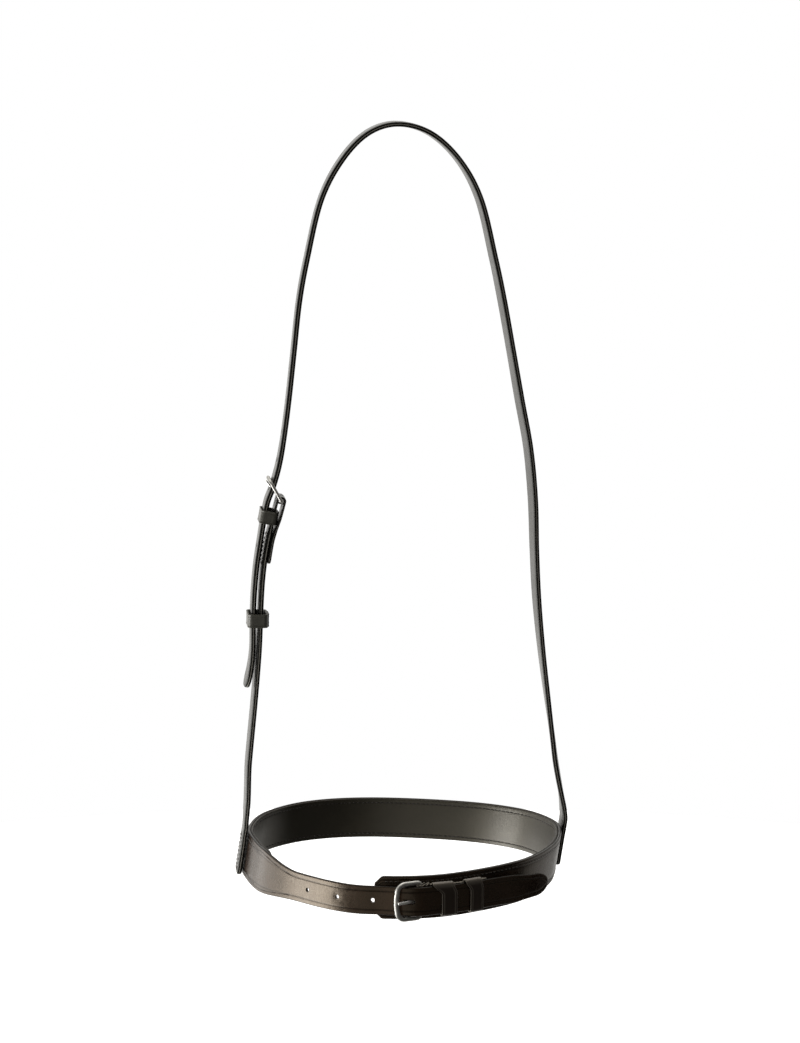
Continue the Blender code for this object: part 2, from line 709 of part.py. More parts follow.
def main():
    for obj in list(bpy.data.objects):
        bpy.data.objects.remove(obj, do_unlink=True)
    leather = material("bridle_leather", (0.030, 0.018, 0.012), 0.42)
    lining = material("lining_leather", (0.060, 0.050, 0.036), 0.5)
    steel = material("satin_steel", (0.55, 0.53, 0.50), 0.3, 1.0)
    linen = material("linen_thread", (0.10, 0.07, 0.05), 0.8)
    make_nose_band(leather)
    make_lining(lining)
    make_front_chape(leather)
    make_front_keepers(leather)
    make_front_buckle(steel)
    make_head_strap(leather)
    make_cheek_strap(leather)
    make_cheek_buckle(steel)
    make_cheek_keepers(leather)
    make_lining_seams(linen)
    make_chape_seam(linen)
    make_strap_seams(linen)


main()
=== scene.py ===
"""Looks for a cavesson noseband on its sliphead: waxed dark leather, linen stitching, satin steel.

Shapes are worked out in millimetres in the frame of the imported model: the origin is under the
poll, +Z is up, and the noseband hangs DROP below it.  Positions round the noseband are given by
the distance along its middle line from the front buckle's hinge bar, outwards from the joint
between its two plies, and upwards from its middle.
"""
import math

import bmesh
import bpy
import numpy as np
from mathutils import Matrix, Vector


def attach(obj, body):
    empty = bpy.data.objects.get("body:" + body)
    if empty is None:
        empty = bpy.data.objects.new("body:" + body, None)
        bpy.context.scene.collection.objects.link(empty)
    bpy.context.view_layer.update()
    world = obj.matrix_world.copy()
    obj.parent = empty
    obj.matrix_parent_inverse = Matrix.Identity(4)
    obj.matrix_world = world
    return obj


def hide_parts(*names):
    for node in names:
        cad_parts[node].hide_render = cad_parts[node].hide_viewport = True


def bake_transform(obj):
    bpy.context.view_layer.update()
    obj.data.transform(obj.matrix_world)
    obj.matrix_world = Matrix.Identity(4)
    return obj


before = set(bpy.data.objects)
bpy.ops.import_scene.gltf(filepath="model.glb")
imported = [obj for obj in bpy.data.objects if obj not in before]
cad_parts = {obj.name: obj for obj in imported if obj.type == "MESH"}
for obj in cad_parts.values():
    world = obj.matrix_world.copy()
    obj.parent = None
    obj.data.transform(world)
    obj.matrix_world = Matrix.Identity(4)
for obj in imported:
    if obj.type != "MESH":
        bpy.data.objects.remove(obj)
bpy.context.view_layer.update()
MM = 0.001

# ---- the design's sizes, in millimetres --------------------------------------------------
DROP = 470.2
RING_CENTRE_Y = -24.4
BAND_WIDTH = 27.2
OUTER_PLY = 2.2
LINING_PLY = 1.6
PLY_GAP = 0.3
BILLET_WIDTH = 18.2
BILLET_DROP = 1.5
BUCKLE_DROP = 0.6
BAND_START = -27.6
TAPER_FROM = -128.5
TAPER_TO = -84.0
BILLET_TIP = 86.5
TIP_TAPER = 28.0             # the billet narrows a little over this length before its tip
TIP_ROUND = 9.0
TIP_RISE = 5.5
LAP_FROM = -32.0
KEEPERS_FROM = 10.0
STRAP_WIDTH = 16.0
STRAP_THICK = 3.4
FRONT_HOLES = (-69, -45, -22, 0, 23)       # from the prong's hole, punched by hand
CHEEK_HOLE_PITCH = 19.0
HOLE = (2.9, 2.9)            # length along the strap and width
PRONG_HOLE = (4.8, 3.2)
HOLE_REACH = 6.0             # how far a punch goes each way, where nothing lies below
FRONT_FRAME_SIZE = (22.4, 5.2)             # width and corner radius
CHEEK_FRAME_SIZE = (21.0, 3.6)
FRONT_FRAME_LENGTH = 15.8
CHEEK_FRAME_LENGTH = 15.4
HINGE_BAR = 1.3
FRONT_BAR = 1.5
CHEEK_BAR = 1.15
FOLD_GAP = 0.3
FOLD_PLY = 1.6
CHAPE_PLY = 1.0
KEEPER_PLY = 1.0
LEATHER_GAP = 0.3
SEAM_AT = 10.6
BAND_LEAN = 0.16             # the band leans towards -X by this slope where the straps hold it
CHEEK_HINGE = (-77.0, 232.2)
CHEEK_LEAN = math.radians(12.8)
CHEEK_FRAME_LEAN = math.radians(28.3)
FRONT_FRAME_LIFT = math.radians(17.0)
CHAPE_LENGTH = 42.0
RUNNING_KEEPER_AT = 155.0
FIXED_KEEPER_AT = 222.5

RING_OUTLINE = (
    (-1.5, -94.9), (30, -86.6), (67, -63), (90, -29), (99.8, 5), (99.7, 33), (84, 64), (48, 89),
    (-10, 106), (-54, 101), (-85, 75), (-98.2, 40), (-98.2, 9), (-90, -29), (-66, -65.5),
    (-36, -88.9),
)
# Strap routes above the sewn ends: across X, height above the band's middle, turn in degrees.
HEAD_STRAP_ROUTE = (
    (104.2, 40, -8), (101.7, 65, -9), (97.2, 98, -3), (93, 131, 1), (89.7, 165, 4),
    (88, 197, 5), (86.8, 230, 7), (83.6, 263, 7), (77.7, 295, 7), (71.8, 328, 6),
    (65.9, 360, 6), (60.2, 387, 5), (51, 424, 4), (37.5, 449, 2), (19, 466, 2), (-2, 471.9, 0),
    (-21, 466, 0), (-37.5, 449, 0), (-50.5, 424, 1), (-59.5, 387, 1), (-64.5, 360, 1),
    (-68, 329, 1), (-71.6, 297, 1), (-75, 272, 1), (-78.2, 255, 0), (-82.2, 241, 0),
    (-85.6, 232, 0), (-87.8, 222, 0), (-90.3, 207, 0), (-92.8, 191, 0), (-94.4, 175, 0),
    (-95.2, 161, 0), (-95.5, 148, 0), (-95.9, 134, 0), (-97.4, 122, -2), (-100.2, 110, -4),
)
CHEEK_STRAP_ROUTE = (
    (-101.6, 37, -2), (-100, 50, -2), (-97.3, 77, -2), (-94.7, 103, -2), (-92, 133, -1),
    (-91, 150, 0), (-90.2, 168, 0), (-89.2, 182, 0), (-87.6, 195, 0), (-85.4, 207, 0),
    (-82.6, 220, 0),
)
SEWN_TOP = 18.0              # above this height a strap leaves the band
CORNER = 4.4                 # corners cut off the wide end
CUT_EDGE_ROUNDING = 0.34     # of a strap's thickness
CREASE_WIDTH = 0.30
CREASE_SAMPLES = (0.9, 1.5, 1.8, 2.1, 2.4, 2.75, 3.1, 3.45, 3.8, 4.2, 4.6, 5.3)
ARC = tuple(math.radians(a) for a in (18, 36, 54, 72, 90))


# ---- curves and frames ---------------------------------------------------------------------
def catmull_rom(points, closed, steps):
    pts = np.array(points, dtype=float)
    if closed:
        around = np.vstack([pts[-1:], pts, pts[:2]])
        spans = len(pts)
    else:
        around = np.vstack([2 * pts[0] - pts[1], pts, 2 * pts[-1] - pts[-2]])
        spans = len(pts) - 1
    t = np.arange(steps)[:, None] / steps
    out = []
    for i in range(spans):
        a, b, c, d = around[i:i + 4]
        out.append(0.5 * (2 * b + (c - a) * t + (2 * a - 5 * b + 4 * c - d) * t ** 2
                          + (3 * b - a - 3 * c + d) * t ** 3))
    return np.vstack(out + [pts[:1] if closed else pts[-1:]])


def smooth(t):
    t = np.clip(t, 0.0, 1.0)
    return t * t * (3 - 2 * t)


def unit(v):
    v = np.asarray(v, dtype=float)
    return v / np.linalg.norm(v, axis=-1, keepdims=True)


class Ring:
    """The noseband's middle line."""

    def __init__(self):
        self.line = catmull_rom(RING_OUTLINE, closed=True, steps=60)
        gaps = np.hypot(*np.diff(self.line, axis=0).T)
        self.s = np.concatenate([[0], np.cumsum(gaps)])
        self.length = self.s[-1]

    def xy(self, s):
        s = np.asarray(s, dtype=float) % self.length
        return np.stack([np.interp(s, self.s, self.line[:, i]) for i in (0, 1)], axis=-1)

    def outward(self, s):
        along = unit(self.xy(np.asarray(s) + 2.5) - self.xy(np.asarray(s) - 2.5))
        return np.stack([along[..., 1], -along[..., 0]], axis=-1)

    def point(self, s, out, up):
        """Places, with the lean that the hanging straps give the band's sides."""
        s, out, up = np.broadcast_arrays(*(np.asarray(v, dtype=float) for v in (s, out, up)))
        normal = self.outward(s)
        lean = BAND_LEAN * up * normal[..., 0] * np.abs(normal[..., 0])
        at = self.xy(s) + (out + lean)[..., None] * normal
        return np.stack([at[..., 0], at[..., 1] + RING_CENTRE_Y, up - DROP], axis=-1)


RING = Ring()
CHAPE_BASE = PLY_GAP / 2 + OUTER_PLY + LEATHER_GAP
FRONT_HINGE_OUT = CHAPE_BASE + CHAPE_PLY + FOLD_GAP + HINGE_BAR + 0.15
CHAPE_TOP = CHAPE_BASE + 2 * CHAPE_PLY + LEATHER_GAP + 0.15


def billet_rise(s):
    """How far the billet's inner face stands out from the joint between the plies."""
    s = np.asarray(s, dtype=float)
    over = PLY_GAP / 2 + OUTER_PLY + LEATHER_GAP + 0.1
    keeper = CHAPE_TOP + KEEPER_PLY + 2 * LEATHER_GAP
    crest = FRONT_HINGE_OUT + HINGE_BAR + FOLD_GAP + CHAPE_PLY + LEATHER_GAP + 0.2
    climb = PLY_GAP / 2 + (over - PLY_GAP / 2) * smooth((s - TAPER_TO) / (LAP_FROM - TAPER_TO))
    onto = over + (crest - over) * smooth((s - BAND_START) / (-1 - BAND_START))
    down = crest + (keeper - crest) * smooth(s / KEEPERS_FROM)
    spring = keeper + TIP_RISE * np.clip((s - 42) / (BILLET_TIP - 42), 0, None) ** 2
    return np.select([s <= LAP_FROM, s <= 0, s <= KEEPERS_FROM], [climb, onto, down], spring)


def billet_height(s):
    lifted = smooth((s + 45) / 40) - smooth((s - 40) / 40)
    return -BILLET_DROP + (BILLET_DROP - BUCKLE_DROP) * lifted


class Route:
    """A strap's middle line in the XZ plane, with its turn about its own length."""

    def __init__(self, points):
        self.line = catmull_rom(points, closed=False, steps=30)
        gaps = np.hypot(np.diff(self.line[:, 0]), np.diff(self.line[:, 1]))
        self.s = np.concatenate([[0], np.cumsum(gaps)])
        self.length = self.s[-1]

    def at(self, s):
        s = np.clip(np.asarray(s, dtype=float), 0, self.length)
        return np.stack([np.interp(s, self.s, self.line[:, i]) for i in range(3)], axis=-1)

    def nearest(self, height, x_sign, after=0.0):
        side = (np.sign(self.line[:, 0]) == x_sign) & (self.s >= after)
        gap = np.where(side, np.abs(self.line[:, 1] - height), np.inf)
        return self.s[int(np.argmin(gap))]

    def axes(self, s):
        """Middle, outward face direction and across direction at each distance."""
        s = np.asarray(s, dtype=float)
        here = self.at(s)
        step = self.at(s + 1.2) - self.at(s - 1.2)
        along = unit(np.stack([step[..., 0], np.zeros_like(s), step[..., 1]], axis=-1))
        normal = np.stack([along[..., 2], np.zeros_like(s), -along[..., 0]], axis=-1)
        turn = np.radians(here[..., 2])[..., None]
        y = np.array([0.0, 1.0, 0.0])
        face = normal * np.cos(turn) + y * np.sin(turn)
        across = y * np.cos(turn) - normal * np.sin(turn)
        lean = BAND_LEAN * np.clip(here[..., 1], -20, SEWN_TOP)
        lean = lean * (1 - smooth((here[..., 1] - SEWN_TOP) / 45))
        middle = np.stack([here[..., 0] + lean, np.zeros_like(s), here[..., 1] - DROP], axis=-1)
        return middle, face, across

    def place(self, s, out, up):
        """Points at distances across the strap and out from its middle."""
        s, out, up = np.broadcast_arrays(*(np.asarray(v, dtype=float) for v in (s, out, up)))
        middle, face, across = self.axes(s)
        return middle + face * out[..., None] + across * up[..., None]


def sewn_end(side):
    widest = side * np.max(RING.line[:, 0] * side)
    x = widest + side * (PLY_GAP / 2 + OUTER_PLY + 0.4 + STRAP_THICK / 2)
    return ((x, -BAND_WIDTH / 2 + 0.6, 0), (x, 4, 0), (x - side * 0.1, 20, 0))


def cheek_route():
    up = np.array([math.sin(CHEEK_LEAN), math.cos(CHEEK_LEAN)])
    right = np.array([up[1], -up[0]])
    hinge = np.array(CHEEK_HINGE)
    radius = HINGE_BAR + FOLD_GAP + FOLD_PLY / 2
    turns = np.radians(np.arange(0, 181, 30))
    fold = [(*(hinge + radius * (right * math.cos(a) + up * math.sin(a))), 0) for a in turns]
    down = [fold[-1]] + list(reversed(sewn_end(-1) + CHEEK_STRAP_ROUTE))
    outer = Route(down)
    chape = []
    for back in (CHAPE_LENGTH, 34, 26, 19, 13, 7):
        x, z, _ = outer.at(back)
        ahead = outer.at(back - 1)
        run = unit([ahead[0] - x, ahead[1] - z])
        apart = (STRAP_THICK + FOLD_PLY) / 2 + LEATHER_GAP
        apart += (2 * radius - apart) * (1 - smooth((back - 9) / 16))
        chape.append((x + run[1] * apart, z - run[0] * apart, 0))
    return Route(chape + fold + down[1:])


HEAD = Route(sewn_end(1) + HEAD_STRAP_ROUTE)
CHEEK = cheek_route()
FOLD_TOP = CHEEK.s[int(np.argmax(CHEEK.line[:, 1]))]


def cheek_thickness(s):
    s = np.asarray(s)
    tail = 0.8 * smooth((CHAPE_LENGTH - 12 - s) / 10)
    return FOLD_PLY + tail + (STRAP_THICK - FOLD_PLY) * smooth((s - FOLD_TOP - 8) / 22)


# ---- meshes --------------------------------------------------------------------------------
def face_outwards(mesh):
    bm = bmesh.new()
    bm.from_mesh(mesh)
    bmesh.ops.recalc_face_normals(bm, faces=bm.faces)
    bm.to_mesh(mesh)
    bm.free()


def shade(mesh):
    """Smooth shading that breaks at sharp edges."""
    mesh.shade_smooth()
    mesh.set_sharp_from_angle(angle=math.radians(50))


def piece(name, verts, faces, material, body, replaced=(), uvs=None, edge=None):
    """A smooth-shaded mesh piece, in millimetres, that rides on a body."""
    mesh = bpy.data.meshes.new(name)
    mesh.from_pydata((np.asarray(verts) * MM).tolist(), [], faces)
    mesh.materials.append(material)
    if edge is not None:
        mark = mesh.attributes.new("edge", "FLOAT", "POINT")
        mark.data.foreach_set("value", np.asarray(edge, dtype=np.float32))
    if uvs is not None:
        layer = mesh.uv_layers.new(name="UVMap")
        layer.data.foreach_set("uv", np.asarray(uvs, dtype=np.float32).ravel())
    face_outwards(mesh)
    shade(mesh)
    obj = bpy.data.objects.new(name, mesh)
    bpy.context.collection.objects.link(obj)
    if isinstance(body, str):
        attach(obj, body)
    if replaced:
        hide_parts(*replaced)
    return obj


def skin(grid, wrap=False):
    """Quads over a grid of closed cross-sections, capped or joined end to end, and their UVs."""
    count, size = grid.shape[:2]
    rows = count if wrap else count - 1
    i = np.arange(rows)[:, None] * size
    j = ((np.arange(rows)[:, None] + 1) % count) * size
    k = np.arange(size)[None, :]
    n = (k + 1) % size
    faces = np.stack([i + k, i + n, j + n, j + k], axis=-1).reshape(-1, 4).tolist()
    around = np.linalg.norm(np.diff(np.concatenate([grid, grid[:, :1]], axis=1), axis=1), axis=-1)
    v = np.concatenate([np.zeros((count, 1)), np.cumsum(around, axis=1)], axis=1)
    middles = grid.mean(axis=1)
    u = np.concatenate([[0], np.cumsum(np.linalg.norm(np.diff(middles, axis=0), axis=1))])
    nxt = (np.arange(rows) + 1) % count
    u_next = np.append(u, u[-1] + 1)[np.arange(rows) + 1]
    corner_u = np.stack([np.broadcast_to(u[:rows, None], (rows, size))] * 2
                        + [np.broadcast_to(u_next[:, None], (rows, size))] * 2, axis=-1)
    corner_v = np.stack([v[:rows, :-1], v[:rows, 1:], v[nxt, 1:], v[nxt, :-1]], axis=-1)
    uvs = np.stack([corner_u, corner_v], axis=-1).reshape(-1, 2)
    if not wrap:
        for first in (0, (count - 1) * size):
            faces.append(list(range(first, first + size)))
            uvs = np.vstack([uvs, np.zeros((size, 2))])
    return grid.reshape(-1, 3), faces, uvs * 0.1


def strap_section(half, thick, creases=(), inner_creases=(), dome=0.12, plies=1):
    """Cross-sections of a strap: rounded edges, slightly domed faces and pressed creases.

    half and thick are arrays over the stations.  Creases are (distance from the edge, depth)
    pairs, and either may be an array too.  Returns out, up and a mark for each point: 1 on the
    cut edges, 2 where two plies meet in them (painted as a pale highlight line), less in the
    creases, where it paints shade in the edge colour, and 0 on the faces.
    """
    half, thick = np.broadcast_arrays(np.asarray(half, float), np.asarray(thick, float))
    radius = thick * CUT_EDGE_ROUNDING
    squeeze = np.clip((half - radius) / 6.5, 0.05, 1)
    outs, ups, marks = [], [], []

    def face(side, lines, first):
        insets = [radius + (at - 0.9) * squeeze for at in CREASE_SAMPLES]
        insets += [insets[-1] + (half - insets[-1]) * f for f in (0.25, 0.5, 0.75)]
        row = [(first, i) for i in insets] + [(0, half)] + [(-first, i) for i in insets[::-1]]
        for sign, inset in row:
            up = sign * (half - inset)
            sunk = dome * 0.8 * (up / np.maximum(half, 0.1)) ** 2
            painted_crease_shade = np.zeros_like(half)
            for at, depth in lines:
                press = np.exp(-((inset - at) / CREASE_WIDTH) ** 2)
                sunk = sunk + depth * press
                # painted shade: each crease is coloured towards the edge colour, more where it is
                # pressed deeper
                painted_crease_shade = painted_crease_shade + press * np.clip(depth * 4, 0, 0.8)
            outs.append(side * (thick / 2 - sunk))
            ups.append(up)
            marks.append(np.minimum(painted_crease_shade, 0.8))

    def rounding(side, first):
        flat = thick / 2 - dome * 0.8
        for a, towards in [(a, first) for a in ARC] + [(a, -first) for a in reversed(ARC)]:
            outs.append(towards * (flat - radius * (1 - math.cos(a))))
            ups.append(side * (half - radius * (1 - math.sin(a))))
            worn = min(1.0, max(0.0, math.sin(a) * 1.6 - 0.3))
            marks.append(np.full_like(half, worn))
            # where two plies meet, the mark of 2 paints a pale highlight line along the middle of
            # the edge
            if plies == 2 and a == ARC[-1] and towards == first:
                outs.append(np.zeros_like(half))
                ups.append(side * (half - 0.12))
                marks.append(np.full_like(half, 2.0))

    face(1, creases, 1)
    rounding(-1, 1)
    face(-1, inner_creases, -1)
    rounding(1, -1)
    return tuple(np.stack(np.broadcast_arrays(*v), axis=-1) for v in (outs, ups, marks))


def tapered_end(distance, size, least=0.3):
    """1 well inside a piece, falling off over the last of it like a rounded end."""
    t = np.clip(1 - np.asarray(distance) / size, 0, 1)
    return least + (1 - least) * np.sqrt(1 - t ** 2)


def stations(start, end, spacing, fine=1.6):
    """Distances from start to end, closer together by both ends."""
    near = fine * np.array([0, 0.03, 0.1, 0.2, 0.35, 0.55, 0.8])
    count = max(int((end - start - 2 * fine) / spacing), 2)
    return np.concatenate([start + near, np.linspace(start + fine, end - fine, count),
                           end - near[::-1]])


def punch(obj, holes):
    """Cuts holes: (centre, along, through, length, width, reach each way) in millimetres."""
    cutters = []
    for centre, along, through, length, width, reach in holes:
        through = unit(through)
        along = unit(np.asarray(along) - through * np.dot(along, through))
        across = np.cross(through, along)
        turns = np.radians(np.arange(0, 360, 15) + 7.5)
        shift = np.where(np.cos(turns) > 0, 1, -1) * (length - width) / 2
        u, w = width / 2 * np.cos(turns) + shift, width / 2 * np.sin(turns)
        rim = centre + u[:, None] * along + w[:, None] * across
        verts = np.vstack([rim - through * reach, rim + through * reach]) * MM
        size = len(turns)
        faces = [(k, (k + 1) % size, size + (k + 1) % size, size + k) for k in range(size)]
        faces += [tuple(range(size)), tuple(range(size, 2 * size))]
        mesh = bpy.data.meshes.new("cutter")
        mesh.from_pydata(verts.tolist(), [], faces)
        face_outwards(mesh)
        cutter = bpy.data.objects.new("cutter", mesh)
        bpy.context.collection.objects.link(cutter)
        modifier = obj.modifiers.new("hole", "BOOLEAN")
        modifier.operation = "DIFFERENCE"
        modifier.object = cutter
        cutters.append(cutter)
    graph = bpy.context.evaluated_depsgraph_get()
    cut = bpy.data.meshes.new_from_object(obj.evaluated_get(graph))
    obj.modifiers.clear()
    obj.data = cut
    shade(cut)
    for cutter in cutters:
        bpy.data.objects.remove(cutter, do_unlink=True)


def dented(out, s, up, centres, depth=0.22, size=2.0):
    """Presses the outer face in a little around punched holes."""
    for at, height in centres:
        away = (s - at) ** 2 + (up - height) ** 2
        out = out - np.where(out > 0, depth * np.exp(-away / size ** 2), 0)
    return out


def swept(path, normals, half_width, half_depth, sides=16, closed=False):
    """Rings of an oval section along a path, in millimetres."""
    path, normals = np.asarray(path, float), unit(normals)
    if closed:
        run = unit(np.roll(path, -1, axis=0) - np.roll(path, 1, axis=0))
    else:
        run = unit(np.gradient(path, axis=0))
    side = unit(np.cross(run, normals))
    turns = np.linspace(0, math.tau, sides, endpoint=False)
    width = np.broadcast_to(half_width, len(path))[:, None, None]
    depth = np.broadcast_to(half_depth, len(path))[:, None, None]
    return (path[:, None] + side[:, None] * np.cos(turns)[None, :, None] * width
            + normals[:, None] * np.sin(turns)[None, :, None] * depth)


# ---- materials -----------------------------------------------------------------------------
# A painted highlight: the pale line along the middle of a two-ply strap's cut edge, where the
# plies meet.
PAINTED_PLY_HIGHLIGHT = (0.30, 0.285, 0.25, 1)


class Nodes:
    """A small helper for wiring a material or a world."""

    def __init__(self, owner):
        self.owner = owner
        owner.use_nodes = True
        self.tree = owner.node_tree
        self.shader = self.tree.nodes.get("Principled BSDF")

    def add(self, kind, inputs=(), **settings):
        node = self.tree.nodes.new(kind)
        for key, value in settings.items():
            setattr(node, key, value)
        for socket, value in dict(inputs).items():
            self.feed(node.inputs[socket], value)
        return node

    def feed(self, socket, value):
        if isinstance(value, bpy.types.NodeSocket):
            self.tree.links.new(value, socket)
        else:
            socket.default_value = value

    def math(self, operation, a, b=0.0):
        return self.add("ShaderNodeMath", {0: a, 1: b}, operation=operation).outputs[0]

    def blend(self, amount, a, b):
        node = self.add("ShaderNodeMix", {"Factor": amount}, data_type="RGBA")
        self.feed(node.inputs[6], a)
        self.feed(node.inputs[7], b)
        return node.outputs[2]

    def ramp(self, value, low, high, to_low=0.0, to_high=1.0, kind="LINEAR"):
        node = self.add("ShaderNodeMapRange", {"Value": value, "From Min": low,
                                               "From Max": high, "To Min": to_low,
                                               "To Max": to_high}, interpolation_type=kind)
        return node.outputs[0]

    def noise(self, where, scale, detail=3.0, rough=0.55):
        node = self.add("ShaderNodeTexNoise", {"Vector": where, "Scale": scale,
                                               "Detail": detail, "Roughness": rough})
        return node.outputs["Fac"]

    def bump(self, height, strength, distance, below=None):
        node = self.add("ShaderNodeBump", {"Height": height, "Strength": strength,
                                           "Distance": distance})
        if below is not None:
            self.feed(node.inputs["Normal"], below)
        return node.outputs["Normal"]


def leather(name, dark, light, edge_colour, tint, rough, coat, grain):
    """Bridle leather: pores, faint stretch lines, wax that pools, and burnished cut edges.

    The edge attribute is 1 on cut edges, 2 where two plies meet, painted as a pale highlight line
    along the middle of the edge, and 0 on faces; in creases it lies between and paints shade.
    """
    n = Nodes(bpy.data.materials.new(name))
    where = n.add("ShaderNodeTexCoord").outputs["UV"]
    stretched = n.add("ShaderNodeMapping", {"Vector": where, "Scale": (3.0, 0.35, 1)})
    mark = n.add("ShaderNodeAttribute", attribute_name="edge").outputs["Fac"]
    edge = n.math("MINIMUM", mark, 1.0)
    cloud = n.noise(where, 0.55, 4)
    mottle = n.noise(where, 3.2, 5, 0.65)
    lines = n.noise(stretched.outputs[0], 2.4, 5, 0.6)
    pores = n.add("ShaderNodeTexVoronoi", {"Vector": where, "Scale": 17.0, "Randomness": 1.0},
                  feature="SMOOTH_F1").outputs["Distance"]
    cells = n.add("ShaderNodeTexVoronoi", {"Vector": where, "Scale": 9.0},
                  feature="DISTANCE_TO_EDGE").outputs["Distance"]
    fine = n.noise(where, 70.0, 4, 0.7)
    tone = n.math("ADD", n.math("MULTIPLY", cloud, 0.6), n.math("MULTIPLY", mottle, 0.4))
    colour = n.blend(n.ramp(tone, 0.35, 0.65), (*dark, 1), (*light, 1))
    colour = n.blend(n.ramp(pores, 0.05, 0.3, 0.45, 0.0), colour, (*(c * 0.45 for c in dark), 1))
    colour = n.blend(edge, colour, (*edge_colour, 1))
    # painted highlight: the pale line where two plies meet
    ply_highlight_mask = n.ramp(mark, 1.1, 1.6, 0.0, 0.95)
    n.feed(n.shader.inputs["Base Color"], n.blend(ply_highlight_mask, colour, PAINTED_PLY_HIGHLIGHT))
    worn = n.math("ADD", n.ramp(mottle, 0.3, 0.7, rough - 0.05, rough + 0.08),
                  n.ramp(cloud, 0.35, 0.65, -0.03, 0.03))
    n.feed(n.shader.inputs["Roughness"], worn)
    n.feed(n.shader.inputs["Specular IOR Level"], n.ramp(edge, 0.0, 1.0, 0.5, 0.12))
    n.feed(n.shader.inputs["IOR"], 1.5)
    n.feed(n.shader.inputs["Specular Tint"], (*tint, 1))
    n.feed(n.shader.inputs["Coat Weight"], n.ramp(edge, 0.0, 1.0, coat, 0.0))
    n.feed(n.shader.inputs["Coat Roughness"], rough * 0.8)
    n.feed(n.shader.inputs["Sheen Weight"], 0.04)
    n.feed(n.shader.inputs["Sheen Roughness"], 0.5)
    face = n.math("SUBTRACT", 1.0, n.math("MULTIPLY", edge, 0.8))
    broad = n.bump(lines, n.math("MULTIPLY", face, 0.35), 0.00020)
    grained = n.bump(n.ramp(cells, 0.0, 0.12), n.math("MULTIPLY", face, grain), 0.00006, broad)
    pitted = n.bump(n.ramp(pores, 0.05, 0.35), n.math("MULTIPLY", face, grain), 0.00008, grained)
    n.feed(n.shader.inputs["Normal"], n.bump(fine, 0.25, 0.00003, pitted))
    return n.owner


def steel(name, dark, light, smoothest):
    """Satin stainless steel with fine polishing lines and small handling marks."""
    n = Nodes(bpy.data.materials.new(name))
    where = n.add("ShaderNodeTexCoord").outputs["UV"]
    along = n.add("ShaderNodeMapping", {"Vector": where, "Scale": (0.6, 26.0, 1)}).outputs[0]
    lines = n.noise(along, 6.0, 5, 0.7)
    marks = n.noise(where, 5.0, 4, 0.6)
    colour = n.blend(n.ramp(marks, 0.3, 0.7), (*dark, 1), (*light, 1))
    n.feed(n.shader.inputs["Base Color"], colour)
    n.feed(n.shader.inputs["Metallic"], 1.0)
    n.feed(n.shader.inputs["Roughness"], n.ramp(lines, 0.25, 0.75, smoothest, smoothest + 0.14))
    polished = n.bump(lines, 0.15, 0.00004)
    n.feed(n.shader.inputs["Normal"], n.bump(marks, 0.2, 0.00006, polished))
    return n.owner


def thread(name, dark, light):
    """Waxed linen: two plies twisted together."""
    n = Nodes(bpy.data.materials.new(name))
    where = n.add("ShaderNodeTexCoord").outputs["UV"]
    slant = n.add("ShaderNodeMapping", {"Vector": where, "Rotation": (0, 0, 0.8)}).outputs[0]
    twist = n.add("ShaderNodeTexWave", {"Vector": slant, "Scale": 9.0, "Distortion": 0.6})
    fuzz = n.noise(where, 60.0, 3)
    strand = twist.outputs["Fac"]
    n.feed(n.shader.inputs["Base Color"], n.blend(strand, (*dark, 1), (*light, 1)))
    n.feed(n.shader.inputs["Roughness"], n.ramp(fuzz, 0.3, 0.7, 0.5, 0.7))
    n.feed(n.shader.inputs["Sheen Weight"], 0.15)
    plies = n.bump(strand, 0.7, 0.0001)
    n.feed(n.shader.inputs["Normal"], n.bump(fuzz, 0.3, 0.00004, plies))
    return n.owner


HAVANA = leather("havana_leather", (0.0100, 0.0046, 0.0020), (0.0210, 0.0094, 0.0040),
                 (0.004, 0.0032, 0.0024), (1.0, 0.82, 0.60), 0.26, 0.04, 0.05)
STRAP = leather("strap_leather", (0.0038, 0.0034, 0.0024), (0.0080, 0.0070, 0.0048),
                (0.0018, 0.0016, 0.0012), (1.0, 0.99, 0.88), 0.27, 0.22, 0.16)
# The pale edge colour is a painted highlight on the cut edges and creases of the front keepers and
# the front chape.
FRONT_KEEPER = leather("front_keeper_leather", (0.0100, 0.0052, 0.0026), (0.020, 0.0105, 0.0055),
                       (0.260, 0.2350, 0.1950), (1.0, 0.90, 0.78), 0.34, 0.08, 0.20)
KEEPER = leather("keeper_leather", (0.050, 0.0480, 0.0390), (0.088, 0.0840, 0.0680),
                 (0.075, 0.0710, 0.0560), (1.0, 1.0, 0.92), 0.40, 0.45, 0.35)
LINING = leather("lining_leather", (0.010, 0.0083, 0.0048), (0.018, 0.0148, 0.0086),
                 (0.016, 0.0135, 0.0100), (1.0, 0.89, 0.64), 0.41, 0.62, 0.16)
STEEL = steel("satin_steel", (0.38, 0.37, 0.345), (0.50, 0.49, 0.46), 0.42)
BRIGHT_STEEL = steel("worn_steel", (0.80, 0.79, 0.76), (0.90, 0.89, 0.86), 0.52)
DARK_THREAD = thread("dark_thread", (0.011, 0.008, 0.005), (0.030, 0.021, 0.014))
PALE_THREAD = thread("pale_thread", (0.22, 0.18, 0.13), (0.46, 0.40, 0.31))


